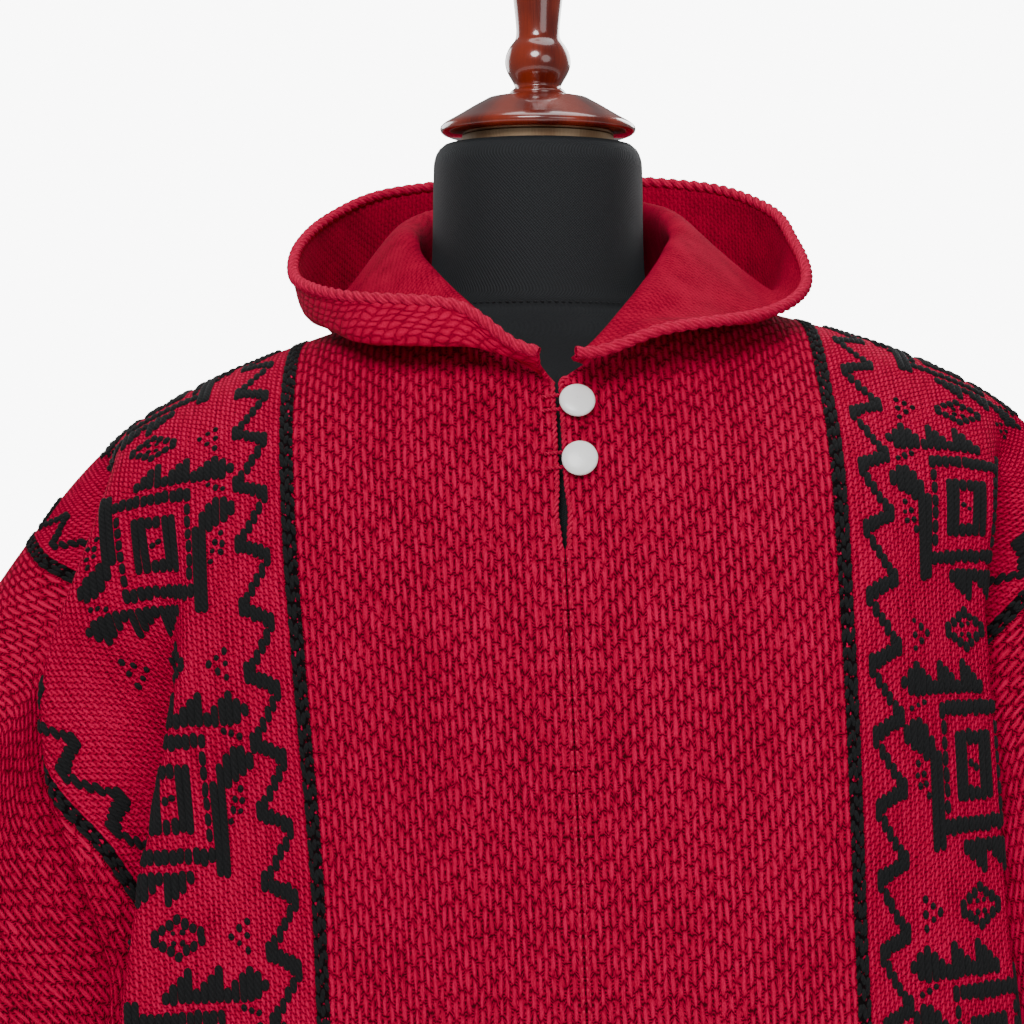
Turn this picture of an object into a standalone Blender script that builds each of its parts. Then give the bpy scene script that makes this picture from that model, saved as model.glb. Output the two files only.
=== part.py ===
"""Hooded andean poncho worn by a black, limbless dress form on a turned stand.

Metres, +Z up.  The front faces -Y, and the floor is Z = 0 under the middle of the round base.
"left" and "right" are the sides that a person facing the front sees: left is -X, right is +X.

The two panels are flat loom widths.  A point of a panel is named by two lengths along the cloth:
u, across it, from the centre seam to the side edge, and s, along it, from the shoulder line
(s > 0 runs down the front, s < 0 down the back).  A row of weft keeps its length when it drapes:
it is added up from the centre in the direction that its heading (plan) and its dip (below level) say.
"""

import math

import bpy
import numpy as np
from mathutils import Matrix, Vector
from mathutils.bvhtree import BVHTree

# ---------------------------------------------------------------- driving dimensions

DATUM = 1.270                 # height of the chest line that the heights below are given from
GAP = 0.0003                  # air left between pieces that touch

PANEL_WIDTH = 0.680           # centre seam to side edge
FRONT_LENGTH = 0.950          # shoulder line to front hem
BACK_LENGTH = 0.950           # shoulder line to back hem
CLOTH = 0.0025                # thickness of the wool

NECK_FRONT_S = 0.143          # where the neckline meets the slit
NECK_SIDE_S = 0.020           # where the neckline is widest
NECK_BACK_S = -0.052
NECK_SIDE_U = 0.092
SLIT_END_S = 0.240
SLIT_HALF_GAP = 0.0016
SEAM_HALF_GAP = 0.0002

SHOULDER_TOP = 0.150          # height of the shoulder line at the centre, above the datum
SHOULDER_Y = 0.022            # the shoulder line lies a little behind the neck's axis
ROLL = math.radians(2.6)      # the poncho hangs a little askew: its foot swings to the right
ROLL_X = 0.006

FOLD_TURN_LENGTH = 0.022      # cloth taken by each rounded edge of a fold

RIM_RADIUS = 0.0034           # twisted edging of the hood
LOOP_RADIUS = 0.0010          # button loops, of thin cord
LOOP_BEND = 0.0042            # from a loop's middle line to the middle of the button's shank
LOOP_FOOT = 0.0090            # where a loop's ends are sewn on, from the slit

# ---------------------------------------------------------------- tables

SHOULDER_DIP = {              # dip of the shoulder line, in degrees below level
    "u":   (0.00, 0.10, 0.15, 0.20, 0.24, 0.28, 0.32, 0.36, 0.45, 0.55, 0.68),
    "dip": (17.0, 17.0, 18.0, 24.0, 31.0, 42.0, 50.0, 53.0, 58.0, 62.0, 65.0),
}
DIP_DECAY = {                 # how fast the dip of a row fades down the cloth, by place across it
    "u":      (0.00, 0.15, 0.24, 0.34, 0.50, 0.68),
    "length": (0.14, 0.15, 0.24, 0.80, 1.20, 1.30),
}
CENTRE_FRONT = {              # pitch of the centre line below level, down the front
    "s":     (0.00, 0.04, 0.08, 0.12, 0.16, 0.20, 0.30, 0.40, 0.95),
    "pitch": (4.0, 22.0, 40.0, 55.0, 66.0, 74.0, 84.0, 89.0, 90.0),
}
CENTRE_BACK = {
    "s":     (0.00, 0.04, 0.08, 0.12, 0.16, 0.20, 0.30, 0.40, 0.95),
    "pitch": (4.0, 26.0, 46.0, 60.0, 70.0, 77.0, 85.0, 89.0, 90.0),
}

HEADING_U = (0.00, 0.08, 0.152, 0.21, 0.26, 0.36, 0.50, 0.68)
HEADING = {                   # heading of a row, in degrees turned from straight sideways to the back
    "front_left": {
        0.00: (2, 2, 2, 2, 2, 2, 2, 2),
        0.06: (-1, 3, 6, 8, 8, 0, 0, 0),
        0.12: (-3, 4, 8, 11, 11, -6, -5, -3),
        0.20: (-2, 8, 12, 9, 3, -6, -5, -4),
        0.28: (3, 13, 14, 5, -3, -9, -6, -4),
        0.42: (10, 21, 17, 1, -8, -14, -8, -4),
        0.60: (13, 23, 15, 0, -8, -14, -8, -4),
        0.95: (13, 22, 14, 0, -8, -14, -8, -4),
    },
    "front_right": {
        0.00: (2, 2, 2, 2, 2, 2, 2, 2),
        0.06: (1, 4, 7, 8, 8, 0, 0, 0),
        0.12: (3, 6, 10, 14, 14, -5, -4, -3),
        0.20: (-3, 2, 14, 24, 26, -8, -6, -4),
        0.28: (-6, 0, 18, 36, 38, -8, -6, -4),
        0.42: (-10, -4, 18, 34, 38, -8, -6, -4),
        0.60: (-13, -8, 12, 30, 34, -8, -5, -4),
        0.95: (-13, -9, 6, 24, 28, -8, -4, -4),
    },
    "back_left": {
        0.00: (-2, -2, -2, -2, -2, -2, -2, -2),
        0.06: (-1, -1, 1, 3, 3, -1, 0, 0),
        0.12: (0, 0, 4, 7, 7, -4, -3, -2),
        0.28: (0, 3, 11, 14, 14, -8, -5, -3),
        0.42: (1, 4, 10, 13, 13, -8, -5, -3),
        0.60: (2, 5, 9, 12, 12, -8, -5, -3),
        0.95: (2, 5, 8, 12, 12, -8, -5, -3),
    },
    "back_right": {
        0.00: (-2, -2, -2, -2, -2, -2, -2, -2),
        0.06: (-1, -1, 1, 3, 3, -1, 0, 0),
        0.12: (0, 0, 4, 7, 7, -4, -3, -2),
        0.28: (0, 3, 11, 15, 14, -8, -5, -3),
        0.42: (-2, 3, 11, 15, 14, -8, -5, -3),
        0.60: (-4, 2, 11, 15, 14, -8, -5, -3),
        0.95: (-4, 2, 10, 15, 15, -8, -5, -3),
    },
}

# Three folds for each quarter, from the centre out.  Each row: depth down the cloth, where the fold's
# front edge lies across it, the width of the hidden return, and how far the cloth turns back, in degrees.
FOLDS = {
    "front_left": (
        ((0.17, 0.200, 0.000, 0), (0.24, 0.210, 0.000, 40), (0.31, 0.226, 0.007, 112),
         (0.36, 0.240, 0.020, 144), (0.42, 0.256, 0.034, 152), (0.60, 0.285, 0.040, 152),
         (0.95, 0.300, 0.044, 152)),
        ((0.05, 0.250, 0.000, 0), (0.11, 0.258, 0.002, 70), (0.17, 0.270, 0.018, 150),
         (0.31, 0.348, 0.030, 155), (0.37, 0.372, 0.034, 155), (0.60, 0.415, 0.038, 155),
         (0.95, 0.440, 0.040, 155)),
        ((0.16, 0.520, 0.010, 0), (0.35, 0.535, 0.016, 45), (0.60, 0.555, 0.018, 60),
         (0.95, 0.570, 0.020, 66)),
    ),
    "front_right": (
        ((0.30, 0.090, 0.020, 0), (0.60, 0.090, 0.024, 14), (0.95, 0.090, 0.026, 24)),
        ((0.08, 0.252, 0.000, 0), (0.15, 0.254, 0.000, 60), (0.20, 0.256, 0.012, 120),
         (0.28, 0.256, 0.036, 140), (0.42, 0.258, 0.052, 150), (0.60, 0.264, 0.060, 152),
         (0.95, 0.272, 0.066, 154)),
        ((0.18, 0.500, 0.010, 0), (0.35, 0.520, 0.018, 50), (0.60, 0.540, 0.022, 66),
         (0.95, 0.555, 0.024, 72)),
    ),
    "back_left": (
        ((0.24, 0.100, 0.016, 0), (0.50, 0.100, 0.022, 22), (0.95, 0.104, 0.026, 34)),
        ((0.06, 0.256, 0.004, 0), (0.12, 0.258, 0.006, 45), (0.18, 0.262, 0.016, 125),
         (0.32, 0.276, 0.034, 155), (0.60, 0.296, 0.048, 160), (0.95, 0.310, 0.054, 160)),
        ((0.16, 0.440, 0.012, 0), (0.36, 0.450, 0.016, 44), (0.60, 0.462, 0.018, 56),
         (0.95, 0.470, 0.020, 62)),
    ),
    "back_right": (
        ((0.28, 0.110, 0.018, 0), (0.55, 0.106, 0.022, 20), (0.95, 0.104, 0.024, 30)),
        ((0.06, 0.246, 0.004, 0), (0.12, 0.250, 0.006, 45), (0.18, 0.258, 0.012, 120),
         (0.32, 0.268, 0.030, 155), (0.60, 0.286, 0.044, 160), (0.95, 0.300, 0.050, 160)),
        ((0.18, 0.450, 0.012, 0), (0.36, 0.460, 0.016, 46), (0.60, 0.474, 0.018, 58),
         (0.95, 0.484, 0.020, 64)),
    ),
}

# The hood from the slit (0) round one side to the middle of the back (1).  Radii are measured from the
# neck's axis and heights from the datum.  The crest, twice crest_w wide, stands by the neck, the trough,
# twice trough_w wide, is the hollow of the hood, and the rim is its face opening.
# Columns: along, angle, crest_r, crest_w, crest_z, trough_r, trough_w, trough_z, rim_r, rim_z.
HOOD = {
    "left": (
        (0.00, 3, 0.099, 0.003, 0.081, 0.108, 0.003, 0.083, 0.115, 0.087),
        (0.10, 10, 0.097, 0.003, 0.088, 0.105, 0.002, 0.086, 0.113, 0.092),
        (0.24, 27, 0.090, 0.007, 0.113, 0.114, 0.004, 0.092, 0.119, 0.113),
        (0.40, 52, 0.084, 0.010, 0.138, 0.131, 0.005, 0.095, 0.134, 0.118),
        (0.55, 80, 0.083, 0.010, 0.158, 0.133, 0.006, 0.109, 0.144, 0.131),
        (0.70, 106, 0.085, 0.011, 0.173, 0.138, 0.007, 0.120, 0.151, 0.158),
        (0.78, 124, 0.087, 0.011, 0.181, 0.150, 0.008, 0.106, 0.158, 0.178),
        (0.86, 144, 0.089, 0.011, 0.188, 0.161, 0.011, 0.076, 0.164, 0.198),
        (1.00, 180, 0.091, 0.011, 0.194, 0.167, 0.012, 0.034, 0.158, 0.213),
    ),
    "right": (
        (0.00, 3, 0.099, 0.003, 0.081, 0.108, 0.003, 0.083, 0.115, 0.087),
        (0.10, 11, 0.097, 0.003, 0.090, 0.106, 0.002, 0.087, 0.114, 0.088),
        (0.24, 29, 0.088, 0.007, 0.116, 0.111, 0.003, 0.106, 0.124, 0.101),
        (0.40, 54, 0.078, 0.009, 0.142, 0.126, 0.005, 0.108, 0.138, 0.110),
        (0.55, 80, 0.075, 0.010, 0.162, 0.132, 0.006, 0.118, 0.147, 0.128),
        (0.70, 106, 0.078, 0.011, 0.176, 0.137, 0.007, 0.128, 0.151, 0.160),
        (0.78, 124, 0.082, 0.011, 0.184, 0.151, 0.008, 0.116, 0.162, 0.184),
        (0.86, 144, 0.086, 0.011, 0.190, 0.161, 0.011, 0.082, 0.166, 0.202),
        (1.00, 180, 0.091, 0.011, 0.194, 0.167, 0.012, 0.034, 0.158, 0.213),
    ),
}

# Dress form sections: height above the datum, half width, reach to the front, reach to the back.
FORM = (
    (-0.500, 0.136, 0.084, 0.104),
    (-0.492, 0.146, 0.092, 0.112),
    (-0.440, 0.150, 0.094, 0.116),
    (-0.340, 0.138, 0.088, 0.102),
    (-0.260, 0.134, 0.088, 0.092),
    (-0.180, 0.146, 0.100, 0.094),
    (-0.100, 0.160, 0.114, 0.101),
    (-0.020, 0.176, 0.110, 0.104),
    (0.020, 0.182, 0.102, 0.098),
    (0.045, 0.180, 0.094, 0.090),
    (0.062, 0.168, 0.085, 0.082),
    (0.076, 0.146, 0.077, 0.076),
    (0.088, 0.118, 0.071, 0.071),
    (0.100, 0.090, 0.067, 0.067),
    (0.112, 0.071, 0.063, 0.064),
    (0.126, 0.063, 0.061, 0.062),
    (0.160, 0.061, 0.060, 0.060),
    (0.200, 0.0605, 0.0595, 0.0595),
    (0.208, 0.0585, 0.0575, 0.0575),
    (0.212, 0.0545, 0.0535, 0.0535),
)

# Turned pieces: radius and height above the datum, from the bottom up.
CAP_DISC = ((0.0430, 0.2125), (0.0440, 0.2160), (0.0440, 0.2175))
NECK_CAP = (
    (0.0520, 0.2180), (0.0560, 0.2195), (0.0570, 0.2225), (0.0545, 0.2250), (0.0500, 0.2275),
    (0.0440, 0.2310), (0.0375, 0.2350), (0.0320, 0.2380), (0.0285, 0.2400), (0.0200, 0.2405),
)
FINIAL = (
    (0.0160, 0.2410), (0.0165, 0.2430), (0.0150, 0.2445), (0.0128, 0.2460), (0.0150, 0.2500),
    (0.0180, 0.2550), (0.0192, 0.2600), (0.0186, 0.2650), (0.0162, 0.2700), (0.0130, 0.2735),
    (0.0124, 0.2780), (0.0130, 0.2860), (0.0146, 0.3000), (0.0160, 0.3140), (0.0156, 0.3240),
    (0.0132, 0.3320), (0.0112, 0.3370), (0.0118, 0.3400), (0.0176, 0.3480), (0.0204, 0.3580),
    (0.0196, 0.3680), (0.0150, 0.3770), (0.0070, 0.3820),
)
HIP_PLATE = ((0.0700, -0.5180), (0.0740, -0.5160), (0.0740, -0.5040), (0.0700, -0.5003))
BUTTON = (                    # domed, with a shank: radius and height above the panel
    (0.0028, 0.0000), (0.0028, 0.0026), (0.0090, 0.0028), (0.0100, 0.0040), (0.0094, 0.0054),
    (0.0066, 0.0064), (0.0030, 0.0068),
)
BUTTONS = {"upper": (0.156, 0.0105), "lower": (0.190, 0.0105)}      # s and u on the right panel
POLE_RADIUS = 0.0165
POLE_FOOT = 0.0603
POLE_HEAD = -0.5183
BASE = (                      # radius and height above the floor
    (0.2050, 0.0000), (0.2100, 0.0040), (0.2100, 0.0140), (0.2020, 0.0210), (0.1700, 0.0270),
    (0.1200, 0.0310), (0.0700, 0.0360), (0.0450, 0.0440), (0.0340, 0.0540), (0.0280, 0.0600),
)

# Cells of a row: up to a fold's front edge, round it, across the return and round its back edge,
# three times over, and then on to the side edge.
CELLS = (3, 4, 1, 4, 2, 4, 1, 4, 2, 2, 1, 2, 3)
LEAST_CELL = 0.003
CREST_ARCH = 60.0             # how sharply the hood's crest rounds over, per metre
FORM_SEGMENTS = 36
BUTTON_SEGMENTS = 20
TURNED_SEGMENTS = 32
POLE_SEGMENTS = 24
ROW_STEPS = 1361              # half-millimetre steps along a row of weft
OUTLINE_STEPS = 241           # steps along the neckline

# ---------------------------------------------------------------- numbers from tables


def smooth(value):
    """Ease from 0 to 1."""
    value = np.clip(value, 0.0, 1.0)
    return value * value * (3.0 - 2.0 * value)


def interpolate(x, xs, ys):
    """Cubic through the table's points, with slopes that never overshoot."""
    xs = np.asarray(xs, float)
    ys = np.asarray(ys, float)
    steps = np.diff(xs)
    rises = np.diff(ys, axis=0) / steps.reshape((-1,) + (1,) * (ys.ndim - 1))
    slopes = np.zeros_like(ys)
    same_way = rises[:-1] * rises[1:] > 0
    total = np.where(same_way, rises[:-1] + rises[1:], 1.0)
    slopes[1:-1] = np.where(same_way, 2.0 * rises[:-1] * rises[1:] / total, 0.0)
    slopes[0] = rises[0]
    slopes[-1] = rises[-1]
    x = np.clip(np.asarray(x, float), xs[0], xs[-1])
    cell = np.clip(np.searchsorted(xs, x, side="right") - 1, 0, len(xs) - 2)
    span = steps[cell]
    t = (x - xs[cell]) / span
    if ys.ndim > 1:
        t = t[..., None]
        span = span[..., None]
    ease = t * t * (3.0 - 2.0 * t)
    bend = span * (t * (1 - t) ** 2 * slopes[cell] - t * t * (1 - t) * slopes[cell + 1])
    return ys[cell] * (1 - ease) + ys[cell + 1] * ease + bend


# ---------------------------------------------------------------- the draped panel


def quarter(side, s):
    """Name of the quarter that a point at s lies in."""
    return ("front_" if s >= 0 else "back_") + side


def fold_rows(name, depth):
    """Position, width and turn, in radians, of the quarter's three folds at one depth."""
    rows = []
    for fold in FOLDS[name]:
        depths, places, widths, turns = np.array(fold, float).T
        rows.append((
            float(interpolate(depth, depths, places)),
            float(interpolate(depth, depths, widths)),
            math.radians(float(interpolate(depth, depths, turns))),
        ))
    return rows


def centre_line(s):
    """Y and Z of the centre line at s, on the outer face."""
    table = CENTRE_FRONT if s >= 0 else CENTRE_BACK
    steps = np.linspace(0.0, abs(s), 81)
    middle = 0.5 * (steps[1:] + steps[:-1])
    pitch = np.radians(interpolate(middle, table["s"], table["pitch"]))
    step = abs(s) / 80
    reach = float(np.sum(np.cos(pitch)) * step)
    drop = float(np.sum(np.sin(pitch)) * step)
    return SHOULDER_Y + (-reach if s >= 0 else reach), SHOULDER_TOP - drop


def row_points(side, s, places):
    """Points of the row of weft at s, at the given distances u from the centre seam."""
    name = quarter(side, s)
    depth = abs(s)
    fine = np.linspace(0.0, PANEL_WIDTH, ROW_STEPS)
    middle = 0.5 * (fine[1:] + fine[:-1])
    table = HEADING[name]
    headings = interpolate(depth, tuple(table), np.array(list(table.values()), float))
    heading = np.radians(interpolate(middle, HEADING_U, headings))
    for place, width, turn in fold_rows(name, depth):
        out = smooth((middle - place + 0.5 * FOLD_TURN_LENGTH) / FOLD_TURN_LENGTH)
        back = smooth((middle - place - width - 0.5 * FOLD_TURN_LENGTH) / FOLD_TURN_LENGTH)
        heading = heading + turn * (out - back)
    dip = np.radians(interpolate(middle, SHOULDER_DIP["u"], SHOULDER_DIP["dip"]))
    dip = dip * np.exp(-(depth / interpolate(middle, DIP_DECAY["u"], DIP_DECAY["length"])) ** 1.5)
    step = fine[1] - fine[0]
    facing = -1.0 if s >= 0 else 1.0
    x = np.concatenate(([0.0], np.cumsum(np.cos(dip) * np.cos(heading)) * step))
    y = np.concatenate(([0.0], np.cumsum(np.cos(dip) * np.sin(heading)) * step))
    z = np.concatenate(([0.0], np.cumsum(-np.sin(dip)) * step))
    centre_y, centre_z = centre_line(s)
    sideways = 1.0 if side == "right" else -1.0
    points = np.stack((
        sideways * np.interp(places, fine, x),
        centre_y - facing * np.interp(places, fine, y),
        centre_z + np.interp(places, fine, z),
    ), axis=-1)
    return hang(points)


def hang(points):
    """Turn the poncho's own frame by its roll, about the shoulder top, and lift it to the datum."""
    x = points[..., 0]
    below = points[..., 2] - SHOULDER_TOP
    return np.stack((
        ROLL_X + x * math.cos(ROLL) - below * math.sin(ROLL),
        points[..., 1],
        DATUM + SHOULDER_TOP + x * math.sin(ROLL) + below * math.cos(ROLL),
    ), axis=-1)


def neckline(s):
    """Distance of the panel's inner edge from the centre at s."""
    if s > SLIT_END_S or s <= NECK_BACK_S:
        return SEAM_HALF_GAP
    if s > NECK_FRONT_S:
        return SLIT_HALF_GAP
    if s > NECK_SIDE_S:
        share = (NECK_FRONT_S - s) / (NECK_FRONT_S - NECK_SIDE_S)
        return max(SLIT_HALF_GAP, NECK_SIDE_U * math.sin(0.5 * math.pi * share))
    share = (NECK_SIDE_S - s) / (NECK_SIDE_S - NECK_BACK_S)
    return max(SEAM_HALF_GAP, NECK_SIDE_U * math.sqrt(1.0 - share * share))


def panel_point(side, s, u, lift=0.0):
    """A point of the panel's outer face, moved out by lift."""
    step = 0.002
    here = row_points(side, s, np.array([u - step, u, u + step]))
    above = row_points(side, s - step, np.array([u]))[0]
    below = row_points(side, s + step, np.array([u]))[0]
    across = here[2] - here[0]
    down = below - above
    normal = np.cross(down, across)
    if side == "left":
        normal = -normal
    return here[1] + lift * normal / np.linalg.norm(normal), normal / np.linalg.norm(normal)


def columns(name, depth, start):
    """Distances u of the grid's columns in one row: close together round each fold's two edges."""
    half = 0.5 * FOLD_TURN_LENGTH
    limits = [start]
    for place, width, _ in fold_rows(name, depth):
        for limit in (place - half, place + half, place + width + half, place + width + 3 * half):
            limits.append(max(limit, limits[-1] + LEAST_CELL))
    limits.append(PANEL_WIDTH)
    places = [start]
    for low, high, count in zip(limits[:-1], limits[1:], CELLS):
        places += [low + (high - low) * (i + 1) / count for i in range(count)]
    return np.array(places)


def panel_rows():
    """The values of s of a panel's rows, from the front hem to the back hem."""
    front = (0.0, 0.020, 0.045, 0.075, 0.110, 0.143, 0.160, 0.180, 0.205, 0.240,
             0.295, 0.350, 0.420, 0.510, 0.630, 0.780, FRONT_LENGTH)
    back = (0.016, 0.036, 0.052, 0.085, 0.130, 0.180, 0.240, 0.310, 0.390, 0.490, 0.620, 0.780, BACK_LENGTH)
    return list(reversed(front)) + [-depth for depth in back]


def panel_grid(side):
    """Points of the outer face: a row for each s, from the inner edge to the side edge."""
    rows = []
    for s in panel_rows():
        rows.append(row_points(side, s, columns(quarter(side, s), abs(s), neckline(s))))
    return np.array(rows)


# ---------------------------------------------------------------- meshes


def grid_normals(grid, flip):
    """Unit normals of a grid of points, by central differences."""
    down = np.gradient(grid, axis=0)
    across = np.gradient(grid, axis=1)
    normals = np.cross(down, across)
    if flip:
        normals = -normals
    length = np.linalg.norm(normals, axis=-1, keepdims=True)
    return normals / np.maximum(length, 1e-12)


def shell_mesh(name, grid, thickness, flip):
    """A closed wall: the grid is its outer face, and its inner face lies one thickness in."""
    rows, count = grid.shape[:2]
    inner = grid - thickness * grid_normals(grid, flip)
    points = np.concatenate((grid.reshape(-1, 3), inner.reshape(-1, 3)))
    size = rows * count
    faces = []
    for i in range(rows - 1):
        for j in range(count - 1):
            a = i * count + j
            b, c, d = a + count, a + count + 1, a + 1
            pair = ((a, b, c), (a, c, d))
            if np.linalg.norm(points[b] - points[d]) < np.linalg.norm(points[a] - points[c]):
                pair = ((a, b, d), (b, c, d))
            for three in pair:
                faces.append(three)
                faces.append(tuple(size + k for k in reversed(three)))
    border = list(range(count))
    border += [i * count + count - 1 for i in range(1, rows)]
    border += [(rows - 1) * count + j for j in range(count - 2, -1, -1)]
    border += [i * count for i in range(rows - 2, 0, -1)]
    for a, b in zip(border, border[1:] + border[:1]):
        faces.append((a, b, size + b, size + a))
    if flip:
        faces = [tuple(reversed(face)) for face in faces]
    mesh = bpy.data.meshes.new(name)
    mesh.from_pydata(points.tolist(), [], faces)
    mesh.validate()
    return mesh


def turned_mesh(name, profile, lift, segments):
    """A closed solid of revolution about the Z axis, with flat ends."""
    points = []
    for radius, height in profile:
        for k in range(segments):
            angle = 2 * math.pi * k / segments
            points.append((radius * math.cos(angle), radius * math.sin(angle), height + lift))
    faces = []
    for i in range(len(profile) - 1):
        for k in range(segments):
            a = i * segments + k
            b = i * segments + (k + 1) % segments
            faces.append((a, b, b + segments, a + segments))
    last = (len(profile) - 1) * segments
    faces.append(tuple(reversed(range(segments))))
    faces.append(tuple(range(last, last + segments)))
    mesh = bpy.data.meshes.new(name)
    mesh.from_pydata(points, [], faces)
    return mesh


def form_mesh(name):
    """The neck and torso: an oval ring for each row of the table, with flat ends."""
    points = []
    segments = FORM_SEGMENTS
    for height, half_width, front, back in FORM:
        for k in range(segments):
            angle = 2 * math.pi * k / segments
            reach = back if math.sin(angle) > 0 else front
            points.append((half_width * math.cos(angle), reach * math.sin(angle), DATUM + height))
    faces = []
    for i in range(len(FORM) - 1):
        for k in range(segments):
            a = i * segments + k
            b = i * segments + (k + 1) % segments
            faces.append((a, b, b + segments, a + segments))
    last = (len(FORM) - 1) * segments
    faces.append(tuple(reversed(range(segments))))
    faces.append(tuple(range(last, last + segments)))
    mesh = bpy.data.meshes.new(name)
    mesh.from_pydata(points, [], faces)
    return mesh


def tube_mesh(name, path, radius, sides):
    """A tube with flat ends round an open path of points."""
    path = np.asarray(path, float)
    tangents = np.gradient(path, axis=0)
    tangents /= np.linalg.norm(tangents, axis=1, keepdims=True)
    first = np.cross(tangents[0], (0.0, 0.0, 1.0))
    if np.linalg.norm(first) < 0.1:
        first = np.cross(tangents[0], (0.0, 1.0, 0.0))
    across = first / np.linalg.norm(first)
    points = []
    for centre, tangent in zip(path, tangents):
        across = across - tangent * np.dot(across, tangent)
        across /= np.linalg.norm(across)
        other = np.cross(tangent, across)
        for k in range(sides):
            angle = 2 * math.pi * k / sides
            points.append(centre + radius * (across * math.cos(angle) + other * math.sin(angle)))
    faces = []
    for i in range(len(path) - 1):
        for k in range(sides):
            a = i * sides + k
            b = i * sides + (k + 1) % sides
            faces.append((a, b, b + sides, a + sides))
    last = (len(path) - 1) * sides
    faces.append(tuple(reversed(range(sides))))
    faces.append(tuple(range(last, last + sides)))
    mesh = bpy.data.meshes.new(name)
    mesh.from_pydata([tuple(p) for p in points], [], faces)
    return mesh


# ---------------------------------------------------------------- materials and objects


def material(name, color, roughness, metallic=0.0):
    """A Principled material."""
    found = bpy.data.materials.get(name)
    if found:
        return found
    new = bpy.data.materials.new(name)
    new.use_nodes = True
    shader = new.node_tree.nodes["Principled BSDF"]
    shader.inputs["Base Color"].default_value = (*color, 1.0)
    shader.inputs["Roughness"].default_value = roughness
    shader.inputs["Metallic"].default_value = metallic
    return new


def add(name, mesh, finish, smooth_angle=None):
    """Put a mesh in the scene as a named object."""
    body = bpy.data.objects.new(name, mesh)
    bpy.context.scene.collection.objects.link(body)
    body.data.materials.append(material(*finish))
    if smooth_angle is not None:
        mesh.shade_smooth()
        mesh.set_sharp_from_angle(angle=math.radians(smooth_angle))
    return body


WOOL = ("crimson_wool", (0.62, 0.010, 0.045), 0.9)
FORM_CLOTH = ("black_cloth", (0.012, 0.014, 0.016), 0.85)
VARNISHED = ("varnished_wood", (0.22, 0.050, 0.018), 0.2)
BARE = ("bare_wood", (0.55, 0.34, 0.18), 0.6)
PLASTIC = ("white_plastic", (0.9, 0.9, 0.88), 0.3)

# ---------------------------------------------------------------- the hood


def hood_seam(side, along):
    """The point of the panel's neckline at a share of the way from the slit to the back."""
    shares = np.linspace(0.0, 1.0, OUTLINE_STEPS)
    values = NECK_FRONT_S + (NECK_BACK_S - NECK_FRONT_S) * shares
    outline = np.array([(neckline(s), s) for s in values])
    lengths = np.concatenate(([0.0], np.cumsum(np.linalg.norm(np.diff(outline, axis=0), axis=1))))
    s = float(np.interp(along * lengths[-1], lengths, values))
    return s, max(neckline(s), 0.0012)


def hood_section(side, along):
    """Points of the hood's outer face at one station, from the seam to the rim."""
    s, u = hood_seam(side, along)
    foot, _ = panel_point(side, s, u + 0.002, CLOTH + 4 * GAP)
    foot[2] += 0.0015
    rows = np.array(HOOD[side], float)
    values = interpolate(along, rows[:, 0], rows[:, 1:])
    angle = math.radians(values[0])
    sideways = 1.0 if side == "right" else -1.0
    outward = np.array((sideways * math.sin(angle), -math.cos(angle), 0.0))
    centre = np.array((ROLL_X, 0.0, DATUM))
    crest_r, crest_w, crest_z, trough_r, trough_w, trough_z, rim_r, rim_z = values[1:]
    reach = (crest_r - crest_w, crest_r, crest_r + crest_w, trough_r - trough_w, trough_r + trough_w, rim_r)
    shoulder_z = crest_z - CREST_ARCH * crest_w ** 2
    height = (shoulder_z, crest_z, shoulder_z, trough_z, trough_z, rim_z)
    knots = [foot] + [centre + outward * r + np.array((0.0, 0.0, z)) for r, z in zip(reach, height)]
    return section_curve(np.array(knots))


def section_curve(knots):
    """The knots' line with each corner cut once, a quarter of the way along both of its legs."""
    cut = [knots[0]]
    for before, after in zip(knots[:-1], knots[1:]):
        cut += [0.75 * before + 0.25 * after, 0.25 * before + 0.75 * after]
    return np.array(cut + [knots[-1]])


HOOD_STATIONS = {
    "left": (0.0, 0.06, 0.13, 0.21, 0.30, 0.40, 0.50, 0.60, 0.70, 0.80, 0.90),
    "right": (0.05, 0.09, 0.15, 0.22, 0.30, 0.40, 0.50, 0.60, 0.70, 0.80, 0.90),
}


def hood_grid():
    """Sections from the slit's left side, round the back, to its right side."""
    left = [hood_section("left", along) for along in HOOD_STATIONS["left"]]
    right = [hood_section("right", along) for along in HOOD_STATIONS["right"]]
    back = 0.5 * (hood_section("left", 1.0) + hood_section("right", 1.0))
    return np.array(left + [back] + right[::-1])


def edging_path(grid):
    """Middle line of the twisted edging: it lies end to end with the hood's wall at the rim."""
    rim = grid[:, -1]
    along = np.gradient(rim, axis=0)
    along /= np.linalg.norm(along, axis=1, keepdims=True)
    outward = rim - grid[:, -2]
    outward -= along * np.sum(outward * along, axis=1, keepdims=True)
    outward /= np.linalg.norm(outward, axis=1, keepdims=True)
    wall = grid_normals(grid, False)[:, -1]
    return rim - 0.5 * CLOTH * wall + (RIM_RADIUS + 2 * GAP) * outward


# ---------------------------------------------------------------- buttons and loops


def on_facets(tree, point):
    """The nearest point of a panel's flat facets, and their normal there."""
    place, normal, _, _ = tree.find_nearest(Vector(point))
    return np.array(place), np.array(normal)


def button_mesh(name, trees, s, u):
    """A turned button standing on the right panel, along its normal."""
    foot, normal = on_facets(trees["right"], panel_point("right", s, u)[0])
    mesh = turned_mesh(name, BUTTON, GAP, BUTTON_SEGMENTS)
    mesh.transform(Vector(normal).to_track_quat("Z", "Y").to_matrix().to_4x4())
    mesh.transform(Matrix.Translation(Vector(foot)))
    return mesh


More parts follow.
